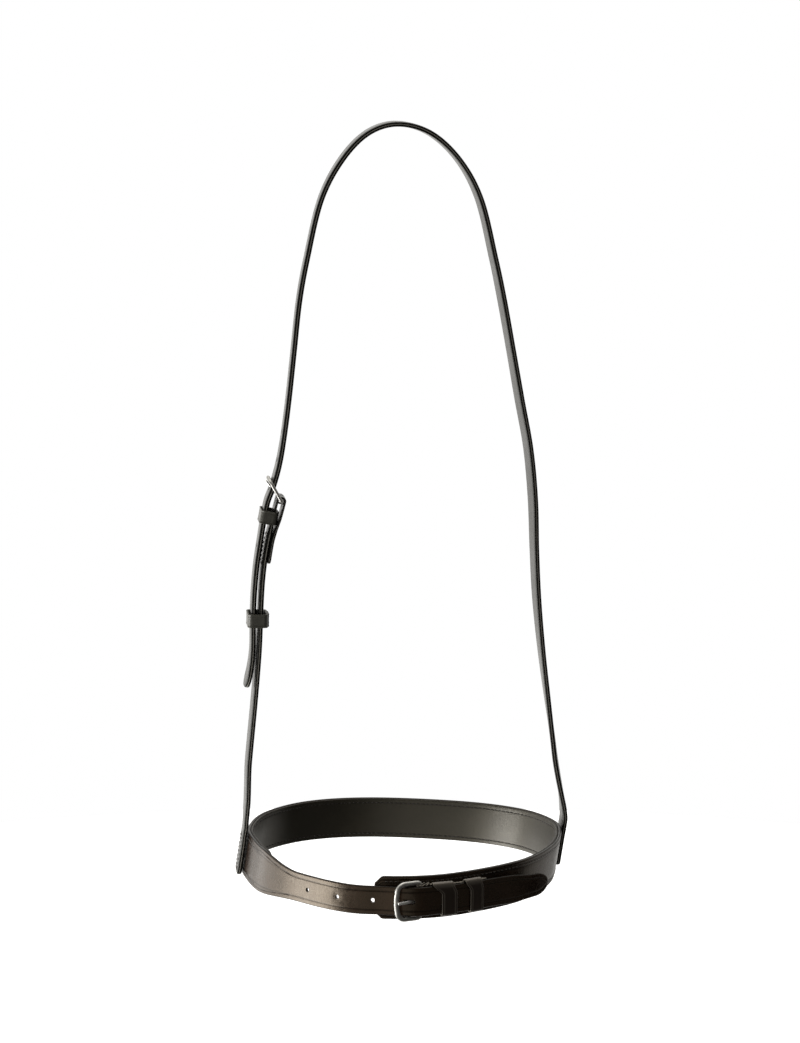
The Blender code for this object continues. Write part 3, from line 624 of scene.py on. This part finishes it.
# ---- stitches ------------------------------------------------------------------------------
def stitch_row(points, normals, length, radius=0.30):
    """Sunk-ended stitches along a line, one for each step between the points."""
    grids = []
    for a, b, normal in zip(points[:-1], points[1:], normals[:-1]):
        run = unit(b - a)
        normal = unit(normal - run * np.dot(normal, run))
        side = np.cross(run, normal)
        middle = (a + b) / 2
        t = np.linspace(-1, 1, 7)
        bow = 0.28 * radius / 0.3 * (1 - t ** 4) - 0.18
        path = middle + run * (t * length / 2)[:, None] + normal * bow[:, None]
        path = path + side * (0.14 * t)[:, None]
        fat = radius * np.sqrt(np.clip(1 - 0.85 * t ** 6, 0.1, 1))
        grids.append(swept(path, np.broadcast_to(normal, path.shape), fat, fat * 0.85, sides=8))
    return grids


def stitched(name, rows, material, body, replaced):
    """All the stitches of a seam in one piece."""
    verts, faces, uvs, start = [], [], [], 0
    for grid in rows:
        v, f, uv = skin(grid)
        verts.append(v)
        faces += [[k + start for k in face] for face in f]
        uvs.append(uv)
        start += len(v)
    return piece(name, np.vstack(verts), faces, material, body, replaced,
                 np.vstack(uvs))


# ---- the noseband --------------------------------------------------------------------------
def front_buckle():
    """Hinge, direction to the far bar, direction out, length and bar radius."""
    out2 = RING.outward(0)
    along2 = np.array([-out2[1], out2[0]])
    reach2 = -along2 * math.cos(FRONT_FRAME_LIFT) + out2 * math.sin(FRONT_FRAME_LIFT)
    face2 = along2 * math.sin(FRONT_FRAME_LIFT) + out2 * math.cos(FRONT_FRAME_LIFT)
    hinge = RING.point(0, FRONT_HINGE_OUT, -BUCKLE_DROP)
    return hinge, np.append(reach2, 0), np.append(face2, 0), FRONT_FRAME_LENGTH, FRONT_BAR


def cheek_buckle():
    lean = CHEEK_FRAME_LEAN
    hinge = np.array([CHEEK_HINGE[0], 0, CHEEK_HINGE[1] - DROP])
    along = np.array([-math.sin(lean), 0, math.cos(lean)])
    face = np.array([-math.cos(lean), 0, -math.sin(lean)])
    return hinge, along, face, CHEEK_FRAME_LENGTH, CHEEK_BAR


def prong_line(buckle):
    hinge, along, out, length, bar = buckle
    start = hinge + along * 2.9 + out * 0.9
    return start, unit(hinge + along * length + out * (bar + 0.85) - start)


def crossing(buckle, distances, points):
    """The distance along a strap at which its middle is nearest to the prong."""
    start, axis = prong_line(buckle)
    gaps = np.linalg.norm(np.cross(points - start, axis), axis=1)
    return distances[int(np.argmin(gaps))]


def band_shape(s):
    """Inner face, half width and middle height of the outer ply."""
    end = RING.length
    narrow = smooth((s - end - TAPER_FROM) / (TAPER_TO - TAPER_FROM))
    half = BAND_WIDTH / 2 + (BILLET_WIDTH - BAND_WIDTH) / 2 * narrow
    half = half - 1.6 * smooth((s - end - BILLET_TIP + TIP_TAPER) / 20)
    inner = np.where(s > end + TAPER_TO, billet_rise(s - end), PLY_GAP / 2)
    return inner, half, billet_height(s - end) * narrow, narrow


def make_nose_band():
    end = RING.length
    s = stations(BAND_START, end + BILLET_TIP, 1.25)
    inner, half, middle, narrow = band_shape(s)
    clipped = np.clip(1 - (s - BAND_START) / CORNER, 0, 1)
    half = half - CORNER * clipped
    half = half * tapered_end(end + BILLET_TIP - s, TIP_ROUND, 0.06)
    thick = OUTER_PLY * tapered_end(np.minimum(s - BAND_START, end + BILLET_TIP - s), 0.9)
    first, second = 2.1 + narrow, 4.2 - 1.1 * narrow
    creases = ((first, 0.27), (second, 0.22 * (1 - narrow)))
    out, up, edge = strap_section(half, thick, creases, ((2.6, 0.12),))
    near = np.arange(-9, 0, 0.05)
    billet = RING.point(near, billet_rise(near) + OUTER_PLY / 2, billet_height(near))
    at = crossing(front_buckle(), near, billet)
    holes = [end + at + step for step in FRONT_HOLES]
    out = dented(out, s[:, None], up, [(h, 0.0) for h in holes])
    grid = RING.point(s[:, None], inner[:, None] - 0.12 + OUTER_PLY / 2 + out,
                      middle[:, None] + up)
    verts, faces, uvs = skin(grid)
    band = piece("nose_band_leather", verts, faces, HAVANA, "noseband",
                 ("nose_band",), uvs, edge.ravel())
    cuts = []
    for step, hole in zip(FRONT_HOLES, holes):
        rise, _, height, _ = band_shape(hole)
        centre = RING.point(hole, rise + OUTER_PLY / 2, height)
        out2 = RING.outward(hole)
        along, through = (-out2[1], out2[0], 0), (*out2, 0)
        size, reach = HOLE, OUTER_PLY / 2 + 0.25       # clear of the wide end below the billet
        if step == 0:
            through, size, reach = prong_line(front_buckle())[1], PRONG_HOLE, HOLE_REACH
        cuts.append((centre, along, through, *size, reach))
    punch(band, cuts)


def make_lining():
    first, last = BAND_START + 0.3, RING.length + TAPER_FROM + 10
    s = stations(first, last, 1.6)
    half = BAND_WIDTH / 2 - 0.25 - CORNER * np.clip(1 - (s - first) / CORNER, 0, 1)
    half = half - 2.4 * np.clip(1 - (last - s) / 6, 0, 1) ** 2
    thick = LINING_PLY * tapered_end(np.minimum(s - first, last - s), 0.8)
    out, up, edge = strap_section(half, thick, (), ((2.75, 0.13),))
    grid = RING.point(s[:, None], -LINING_PLY / 2 - 0.03 + out, up)
    verts, faces, uvs = skin(grid)
    piece("nose_band_lining_leather", verts, faces, LINING, "noseband",
          ("nose_band_lining",), uvs, edge.ravel())


def make_band_seams():
    """Upper and lower seams: each shows inside the lining and outside, between the creases."""
    s = np.arange(BAND_START + 6, RING.length + TAPER_FROM - 2, 3.1)
    normal = np.concatenate([RING.outward(s), np.zeros((len(s), 1))], axis=1)
    for name, sign in (("upper", 1), ("lower", -1)):
        inside = RING.point(s, -LINING_PLY + 0.10, sign * SEAM_AT)
        outside = RING.point(s, PLY_GAP / 2 + OUTER_PLY - 0.22, sign * (BAND_WIDTH / 2 - 3.15))
        rows = stitch_row(inside, -normal, 2.5) + stitch_row(outside, normal, 2.5)
        stitched(name + "_band_stitching", rows, DARK_THREAD, "noseband",
                 (name + "_lining_seam",))


def make_front_chape():
    """The folded strip that holds the hinge bar, a little crinkled where it bends."""
    inner_radius = HINGE_BAR + FOLD_GAP
    middle = inner_radius + CHAPE_PLY / 2
    under = [(s, FRONT_HINGE_OUT - middle) for s in np.arange(44, 0, -2.0)]
    turns = np.radians(np.arange(-90, 91, 15))
    fold = [(-middle * math.cos(a), FRONT_HINGE_OUT + middle * math.sin(a)) for a in turns]
    over = []
    for s in np.arange(1.5, 44.1, 1.5):
        drop = (FRONT_HINGE_OUT + inner_radius + CHAPE_PLY - CHAPE_TOP) * smooth(s / KEEPERS_FROM)
        over.append((s, FRONT_HINGE_OUT + middle - drop))
    path = catmull_rom(under + fold + over, closed=False, steps=3)
    run = unit(np.gradient(path, axis=0))
    normal = np.stack([-run[:, 1], run[:, 0]], axis=-1)
    reach = np.concatenate([[0], np.cumsum(np.linalg.norm(np.diff(path, axis=0), axis=1))])
    thick = CHAPE_PLY * tapered_end(np.minimum(reach, reach[-1] - reach), 0.6)
    out, up, edge = strap_section(np.full(len(path), BILLET_WIDTH / 2 - 0.1), thick, dome=0.05)
    bend = np.exp(-((path[:, :1] - 3.5) / 5.0) ** 2) * (np.abs(up) / 9) ** 4
    out = out + 0.22 * bend * np.sin(reach[:, None] * 3.4) * np.cos(up * 2.1)
    up = up + 1.3 * bend * (up > 0) * (1 + 0.4 * np.sin(reach[:, None] * 2.3))
    grid = RING.point(path[:, :1] + normal[:, :1] * out, path[:, 1:] + normal[:, 1:] * out,
                      up - BUCKLE_DROP)
    verts, faces, uvs = skin(grid)
    chape = piece("front_chape_leather", verts, faces, FRONT_KEEPER, "noseband",
                  ("front_buckle_chape",), uvs, edge.ravel())
    out2 = RING.outward(0)
    along = (-out2[1], out2[0], 0)
    slot = RING.point(-0.5, FRONT_HINGE_OUT + 1.5, -BUCKLE_DROP)
    punch(chape, [(slot, along, (*out2, 0), 11, 3.4, HOLE_REACH)])
    rows = []
    for at in (9.3, 22.6, 26.4):
        up = np.arange(-7.2, 7.3, 2.4) - BUCKLE_DROP
        normal = np.broadcast_to(np.append(RING.outward(at), 0), (len(up), 3))
        rows += stitch_row(RING.point(at, CHAPE_TOP + 0.05, up), normal, 2.0, 0.26)
    stitched("front_chape_stitching", rows, PALE_THREAD, "noseband", ("front_chape_seam",))


def rounded_box(half_x, half_y, radius, spacing=0.5):
    """A closed path round a box, anticlockwise, with its outward normals."""
    path, normals = [], []
    corners = ((1, 1, 0), (-1, 1, 90), (-1, -1, 180), (1, -1, 270))
    for sx, sy, first in corners:
        for turn in np.radians(np.arange(first, first + 91, 15)):
            way = np.array([math.cos(turn), math.sin(turn)])
            path.append(np.array([sx * (half_x - radius), sy * (half_y - radius)]) + way * radius)
            normals.append(way)
    path, normals = np.array(path), np.array(normals)
    dense_path, dense_normals = [], []
    for i in range(len(path)):
        a, b = path[i], path[(i + 1) % len(path)]
        n, m = normals[i], normals[(i + 1) % len(path)]
        count = max(int(np.linalg.norm(b - a) / spacing), 1)
        for t in np.arange(count) / count:
            dense_path.append(a + (b - a) * t)
            dense_normals.append(unit(n + (m - n) * t))
    return np.array(dense_path), np.array(dense_normals)


def make_front_keepers():
    """Two flat loops round the billet; their upper corners are drawn back by wear, and their tops
    carry a painted highlight.
    """
    inside = CHAPE_TOP + LEATHER_GAP
    outside = inside + KEEPER_PLY + 2 * LEATHER_GAP + OUTER_PLY + 0.1 + KEEPER_PLY
    centre = (inside + outside) / 2
    half_out = (outside - inside) / 2 - KEEPER_PLY / 2
    half_up = BILLET_WIDTH / 2 + LEATHER_GAP + KEEPER_PLY / 2
    for name, at, slant in (("front_keeper_near", 11.5, 5.0), ("front_keeper_far", 29.2, 3.2)):
        path, normal = rounded_box(half_out, half_up, 1.7)
        out, along, edge = strap_section(np.full(len(path), 4.5), KEEPER_PLY, ((1.3, 0.10),),
                                         dome=0.06)
        place_out = centre + path[:, :1] + normal[:, :1] * out
        place_up = path[:, 1:] + normal[:, 1:] * out
        crown = smooth((place_up - 3.8) / 5.5)
        place_up = place_up + 1.1 * crown
        back = np.where(along < 0, 1.0, 0.45) * slant * crown
        # painted highlight: each keeper's top is coloured towards the pale edge colour, as if lit
        # from above
        edge = np.maximum(edge, 0.32 * smooth((place_up - 7.0) / 2.5))
        grid = RING.point(at + 4.5 + along - back, place_out, place_up - BUCKLE_DROP)
        verts, faces, uvs = skin(grid, wrap=True)
        piece(name + "_leather", verts, faces, FRONT_KEEPER, "noseband",
              (name,), uvs, edge.ravel())


# ---- buckles -------------------------------------------------------------------------------
def make_frame(name, buckle, width, corner, body):
    """A bent and polished wire frame, heavier along its bowed far bar."""
    hinge, along, out, length, bar = buckle
    side = np.cross(out, along)
    half = width / 2
    path = []
    for turn in np.radians(np.arange(0, 91, 10)):
        path.append((length - corner + corner * math.cos(turn),
                     half - corner + corner * math.sin(turn)))
    path += [(length * f, half) for f in (0.68, 0.55, 0.42, 0.30, 0.22)]
    for turn in np.radians(np.arange(90, 181, 15)):
        path.append((1.9 + 1.9 * math.cos(turn), half - 1.9 + 1.9 * math.sin(turn)))
    path += [(0.0, half * f) for f in (0.6, 0.3)]
    line = path + [(u, -w) for u, w in reversed(path)]
    line += [(length + 0.45, -half * 0.3), (length + 0.6, 0), (length + 0.45, half * 0.3)]
    line = catmull_rom(line, closed=True, steps=4)[:-1]
    radius = HINGE_BAR - 0.05 + (bar - HINGE_BAR) * smooth(line[:, 0] / 4)
    radius = radius + 0.18 * smooth((line[:, 0] - length + 2) / 2)
    places = hinge + line[:, :1] * along + line[:, 1:] * side
    grid = swept(places, np.broadcast_to(out, places.shape), radius, radius * 0.92, 20, True)
    verts, faces, uvs = skin(grid, wrap=True)
    piece(name + "_steel", verts, faces, STEEL, body, (name,), uvs)


def make_prong(name, buckle, body):
    """The tongue: one bar, curled round the hinge and lying across the far bar."""
    hinge, along, out, length, bar = buckle
    side = np.cross(out, along)
    curl = HINGE_BAR + 0.28 + 0.62
    path = [(curl * math.cos(a), curl * math.sin(a)) for a in np.radians(np.arange(50, 331, 20))]
    path += [(3.1, -0.15), (4.6, 0.35), (length * 0.5, bar * 0.5 + 0.6), (length - 2.2, bar + 0.7),
             (length - 0.2, bar + 0.95), (length + 0.7, bar + 0.85)]
    line = catmull_rom(path, closed=False, steps=5)
    reach = np.linspace(0, 1, len(line))
    ends = tapered_end(np.minimum(reach, 1 - reach) * 30, 1.2, 0.25)
    width = (1.18 - 0.30 * smooth((reach - 0.6) / 0.4)) * ends
    depth = (0.60 - 0.04 * smooth((reach - 0.6) / 0.4)) * ends
    run = unit(np.gradient(line, axis=0))
    normal = -run[:, 1:] * along + run[:, :1] * out
    places = hinge + line[:, :1] * along + line[:, 1:] * out
    verts, faces, uvs = skin(swept(places, normal, width, depth, 16))
    piece(name + "_steel", verts, faces, BRIGHT_STEEL, body, (name,), uvs)


# ---- straps --------------------------------------------------------------------------------
def blend_to_band(obj):
    """Bakes the piece's placement into its mesh."""
    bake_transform(obj)


def strap_piece(name, route, s, half, thick, creases, holes, replaced):
    """A strap of two plies along its route, dented round its holes."""
    out, up, edge = strap_section(half, thick, creases, ((1.6, 0.06),), dome=0.16, plies=2)
    out = dented(out, s[:, None], up, [(h, 0.0) for h in holes])
    verts, faces, uvs = skin(route.place(s[:, None], out, up))
    return piece(name, verts, faces, STRAP, None, replaced, uvs,
                 edge.ravel())


def make_head_strap():
    s = stations(0, HEAD.length, 1.7)
    half = STRAP_WIDTH / 2 * tapered_end(HEAD.length - s, 10, 0.08)
    half = half * tapered_end(s, 1.4, 0.8)
    thick = STRAP_THICK * tapered_end(np.minimum(s, HEAD.length - s), 1.3)
    near = np.arange(HEAD.nearest(252, -1), HEAD.nearest(226, -1), 0.05)
    at = crossing(cheek_buckle(), near, HEAD.axes(near)[0])
    steps = (-2, -1, 0, 1, 2)
    holes = [at + step * CHEEK_HOLE_PITCH for step in steps]
    strap = strap_piece("head_strap_leather", HEAD, s, half, thick, ((1.75, 0.20),), holes,
                        ("head_strap",))
    cuts = []
    for step, hole in zip(steps, holes):
        middle, face, _ = HEAD.axes(hole)
        run = HEAD.axes(hole + 1)[0] - HEAD.axes(hole - 1)[0]
        through, size = face, HOLE
        if step == 0:
            through, size = prong_line(cheek_buckle())[1], PRONG_HOLE
        cuts.append((middle, run, through, *size, HOLE_REACH))
    punch(strap, cuts)
    blend_to_band(strap)


def make_cheek_strap():
    s = np.concatenate([stations(0, CHAPE_LENGTH - 4, 1.5)[:-7],
                        np.arange(CHAPE_LENGTH - 4, CHAPE_LENGTH + 14, 0.5),
                        stations(CHAPE_LENGTH + 14, CHEEK.length, 1.7)[1:]])
    half = STRAP_WIDTH / 2 * tapered_end(s, 4.5, 0.35) * tapered_end(CHEEK.length - s, 1.4, 0.8)
    thick = cheek_thickness(s) * tapered_end(np.minimum(s, CHEEK.length - s), 1.3)
    strap = strap_piece("cheek_strap_leather", CHEEK, s, half, thick, ((1.75, 0.20),), [],
                        ("cheek_strap",))
    up = np.array([math.sin(CHEEK_LEAN), 0, math.cos(CHEEK_LEAN)])
    slot = np.array([CHEEK_HINGE[0], 0, CHEEK_HINGE[1] - DROP]) + up
    punch(strap, [(slot, up, (-up[2], 0, up[0]), 12, 3.2, HOLE_REACH)])
    blend_to_band(strap)


def strap_stitch_rows(route, lines, thickness, pitch=2.7):
    """Rows of stitches on a strap's outer face; lines are ((s, up), (s, up)) ends."""
    rows = []
    for (s0, up0), (s1, up1) in lines:
        count = max(int(round(math.hypot(s1 - s0, up1 - up0) / pitch)), 1) + 1
        s, up = np.linspace(s0, s1, count), np.linspace(up0, up1, count)
        _, face, _ = route.axes(s)
        points = route.place(s, thickness(s) / 2 - 0.04 - 0.12 * (up / 8) ** 2, up)
        rows += stitch_row(points, face, pitch - 0.5)
    return rows


def make_strap_stitching():
    inset = STRAP_WIDTH / 2 - 2.9

    def box(low, high):
        """Down one side, across and up the other."""
        return (((low, inset), (high, inset)), ((high, inset), (high, -inset)),
                ((high, -inset), (low, -inset)), ((low, -inset), (low, inset)))

    def full(s):
        return np.full(np.shape(s), STRAP_THICK)

    right = strap_stitch_rows(HEAD, box(25.5, 3.0), full)
    blend_to_band(stitched("right_hanger_stitching", right, DARK_THREAD, None,
                           ("right_hanger_seam",)))
    left = strap_stitch_rows(CHEEK, box(CHEEK.length - 25.5, CHEEK.length - 3.0), full)
    blend_to_band(stitched("left_hanger_stitching", left, DARK_THREAD, None,
                           ("left_hanger_seam",)))
    top = CHEEK.nearest(211, -1, after=CHAPE_LENGTH)
    chape = strap_stitch_rows(CHEEK, box(top, top + 20), cheek_thickness)
    stitched("cheek_chape_stitching", chape, PALE_THREAD, "headpiece", ("cheek_chape_seam",))


def strap_loop(name, height, tall, ply, ease, body):
    """A keeper round both straps, with its ends lapped and sewn on the inner side."""
    at_outer, at_inner = HEAD.nearest(height, -1), CHEEK.nearest(height, -1, CHAPE_LENGTH)
    o, i = HEAD.axes(at_outer)[0], CHEEK.axes(at_inner)[0]
    up = unit(HEAD.axes(at_outer - 3)[0] - HEAD.axes(at_outer + 3)[0])
    out = np.array([-up[2], 0, up[0]])
    across = np.array([0.0, 1.0, 0.0])
    near = np.dot(i - o, out) - cheek_thickness(at_inner) / 2 - ease - ply / 2
    far = STRAP_THICK / 2 + min(ease, 0.6) + ply / 2
    half = STRAP_WIDTH / 2 + LEATHER_GAP + ply / 2
    path, normal = rounded_box((far - near) / 2, half, 1.9)
    lap = smooth((-path[:, 0] - ((far - near) / 2 - 0.8)) / 0.6)
    lap = lap * smooth((path[:, 1] + 5.5) / 0.5) * smooth((6.5 - path[:, 1]) / 4)
    thick = ply + 0.9 * lap
    path = path + normal * (0.45 * lap)[:, None]
    section, rise, edge = strap_section(np.full(len(path), tall / 2), thick, ((1.35, 0.10),),
                                        dome=0.10)
    flare = 0.35 * (np.abs(rise) / (tall / 2)) ** 3
    section = section + flare
    v = (far + near) / 2 + path[:, :1] + normal[:, :1] * section
    w = path[:, 1:] + normal[:, 1:] * section
    grid = o + up * rise[..., None] + out * v[..., None] + across * w[..., None]
    verts, faces, uvs = skin(grid, wrap=True)
    piece(name + "_leather", verts, faces, KEEPER, body, (name,), uvs,
          edge.ravel())
    rows = []
    for rise_at in (-tall * 0.22, tall * 0.22):
        spots = np.array([-4.5, -2.0])
        points = [o + up * rise_at + out * (near - ply / 2 - 0.85) + across * w for w in spots]
        rows += stitch_row(np.array(points), np.array([-out, -out]), 2.0, 0.26)
    return rows


def make_cheek_keepers():
    for name, height, tall, ply, ease, body in (
            ("cheek_running_keeper", RUNNING_KEEPER_AT, 8.8, 1.4, 1.5, "cheek_runner"),
            ("cheek_fixed_keeper", FIXED_KEEPER_AT, 8.6, 0.9, LEATHER_GAP, "headpiece")):
        rows = strap_loop(name, height, tall, ply, ease, body)
        stitched(name + "_stitching", rows, DARK_THREAD, body, ())


# ---- camera, floor and light ---------------------------------------------------------------
FRONT_LIGHT = 0.09
BACK_LIGHT = 0.9
# Glow in the surroundings: direction, half angles of its even middle and its edge, strength.
GLOWS = (
    ((-0.60, -0.75, -0.26), 8, 36, 0.5),
    ((-0.1, 0.2, 0.97), 20, 42, 2.0),
    ((0.85, 0.45, -0.26), 20, 50, -0.42),
)
# Softboxes on the left: place, width along Y, height and brightness.
SOFTBOXES = (
    ("near_softbox", (-0.50, -0.100, -0.61), 0.230, 0.46, 7.6),
    ("back_softbox", (-0.50, 0.26, -0.62), 0.48, 0.50, 1.3),
)


def make_camera():
    camera = bpy.data.objects.new("camera", bpy.data.cameras.new("camera"))
    camera.data.sensor_width = 36.0
    camera.data.lens = 36.0 * 3375 / 1043
    azimuth, pitch, yaw = math.radians(-6.6), math.radians(9.32), math.radians(0.068)
    forward = Vector((-math.sin(azimuth) * math.cos(pitch), math.cos(azimuth) * math.cos(pitch),
                      -math.sin(pitch)))
    forward.rotate(Matrix.Rotation(yaw, 3, "Z"))
    camera.location = (-0.2443, -2.1354, 0.0992)
    camera.rotation_mode = "QUATERNION"
    camera.rotation_quaternion = forward.to_track_quat("-Z", "Y")
    camera.data.clip_start, camera.data.clip_end = 0.05, 50
    bpy.context.collection.objects.link(camera)
    bpy.context.scene.camera = camera


def softbox(name, place, width, height, brightness):
    """A rectangular light facing +X, out of the camera's sight."""
    light = bpy.data.lights.new(name, "AREA")
    light.shape = "RECTANGLE"
    light.size, light.size_y = height, width
    light.energy = 4 * brightness * width * height
    obj = bpy.data.objects.new(name, light)
    obj.location = place
    obj.rotation_euler = (0, -math.pi / 2, 0)
    obj.visible_camera = False
    bpy.context.collection.objects.link(obj)


def make_studio():
    """Pale surroundings, dark by the camera, with softboxes close on the left."""
    scene = bpy.context.scene
    scene.view_settings.view_transform = "Standard"
    scene.world = bpy.data.worlds.new("studio")
    n = Nodes(scene.world)
    n.tree.nodes.clear()
    way = n.add("ShaderNodeTexCoord").outputs["Generated"]
    split = n.add("ShaderNodeSeparateXYZ", {0: way})
    light = n.ramp(split.outputs["Y"], -0.30, 0.35, FRONT_LIGHT, BACK_LIGHT, "SMOOTHSTEP")
    for towards, inner, outer, strength in GLOWS:
        facing = n.add("ShaderNodeVectorMath", {0: way, 1: tuple(unit(towards))},
                       operation="DOT_PRODUCT").outputs["Value"]
        glow = n.ramp(facing, math.cos(math.radians(outer)), math.cos(math.radians(inner)),
                      0.0, strength, "SMOOTHSTEP")
        light = n.math("ADD", light, glow)
    lit = n.add("ShaderNodeBackground", {"Strength": light, "Color": (1.0, 0.985, 0.95, 1)})
    seen = n.add("ShaderNodeBackground", {"Strength": 1.0, "Color": (1, 1, 1, 1)})
    path = n.add("ShaderNodeLightPath")
    mix = n.add("ShaderNodeMixShader", {0: path.outputs["Is Camera Ray"], 1: lit.outputs[0],
                                        2: seen.outputs[0]})
    n.add("ShaderNodeOutputWorld", {"Surface": mix.outputs[0]})
    for box in SOFTBOXES:
        softbox(*box)


def make_floor():
    mesh = bpy.data.meshes.new("floor")
    bm = bmesh.new()
    bmesh.ops.create_circle(bm, cap_ends=True, segments=64, radius=1.2)
    bm.to_mesh(mesh)
    bm.free()
    floor = bpy.data.objects.new("floor", mesh)
    floor.location = (0, 0.1, (-DROP - 300) * MM)
    bpy.context.collection.objects.link(floor)
    n = Nodes(bpy.data.materials.new("floor"))
    n.feed(n.shader.inputs["Base Color"], (0.92, 0.92, 0.92, 1))
    n.feed(n.shader.inputs["Roughness"], 0.9)
    n.feed(n.shader.inputs["Specular IOR Level"], 0.0)
    n.feed(n.shader.inputs["Emission Color"], (1, 1, 1, 1))
    n.feed(n.shader.inputs["Emission Strength"], 0.55)
    mesh.materials.append(n.owner)
    floor.visible_diffuse = False
    floor.visible_glossy = False


make_camera()
make_studio()
make_floor()
make_nose_band()
make_lining()
make_band_seams()
make_front_chape()
make_front_keepers()
make_frame("front_buckle_frame", front_buckle(), *FRONT_FRAME_SIZE, "front_buckle")
make_prong("front_buckle_prong", front_buckle(), "front_prong")
make_head_strap()
make_cheek_strap()
make_strap_stitching()
make_cheek_keepers()
make_frame("cheek_buckle_frame", cheek_buckle(), *CHEEK_FRAME_SIZE, "cheek_buckle")
make_prong("cheek_buckle_prong", cheek_buckle(), "cheek_prong")
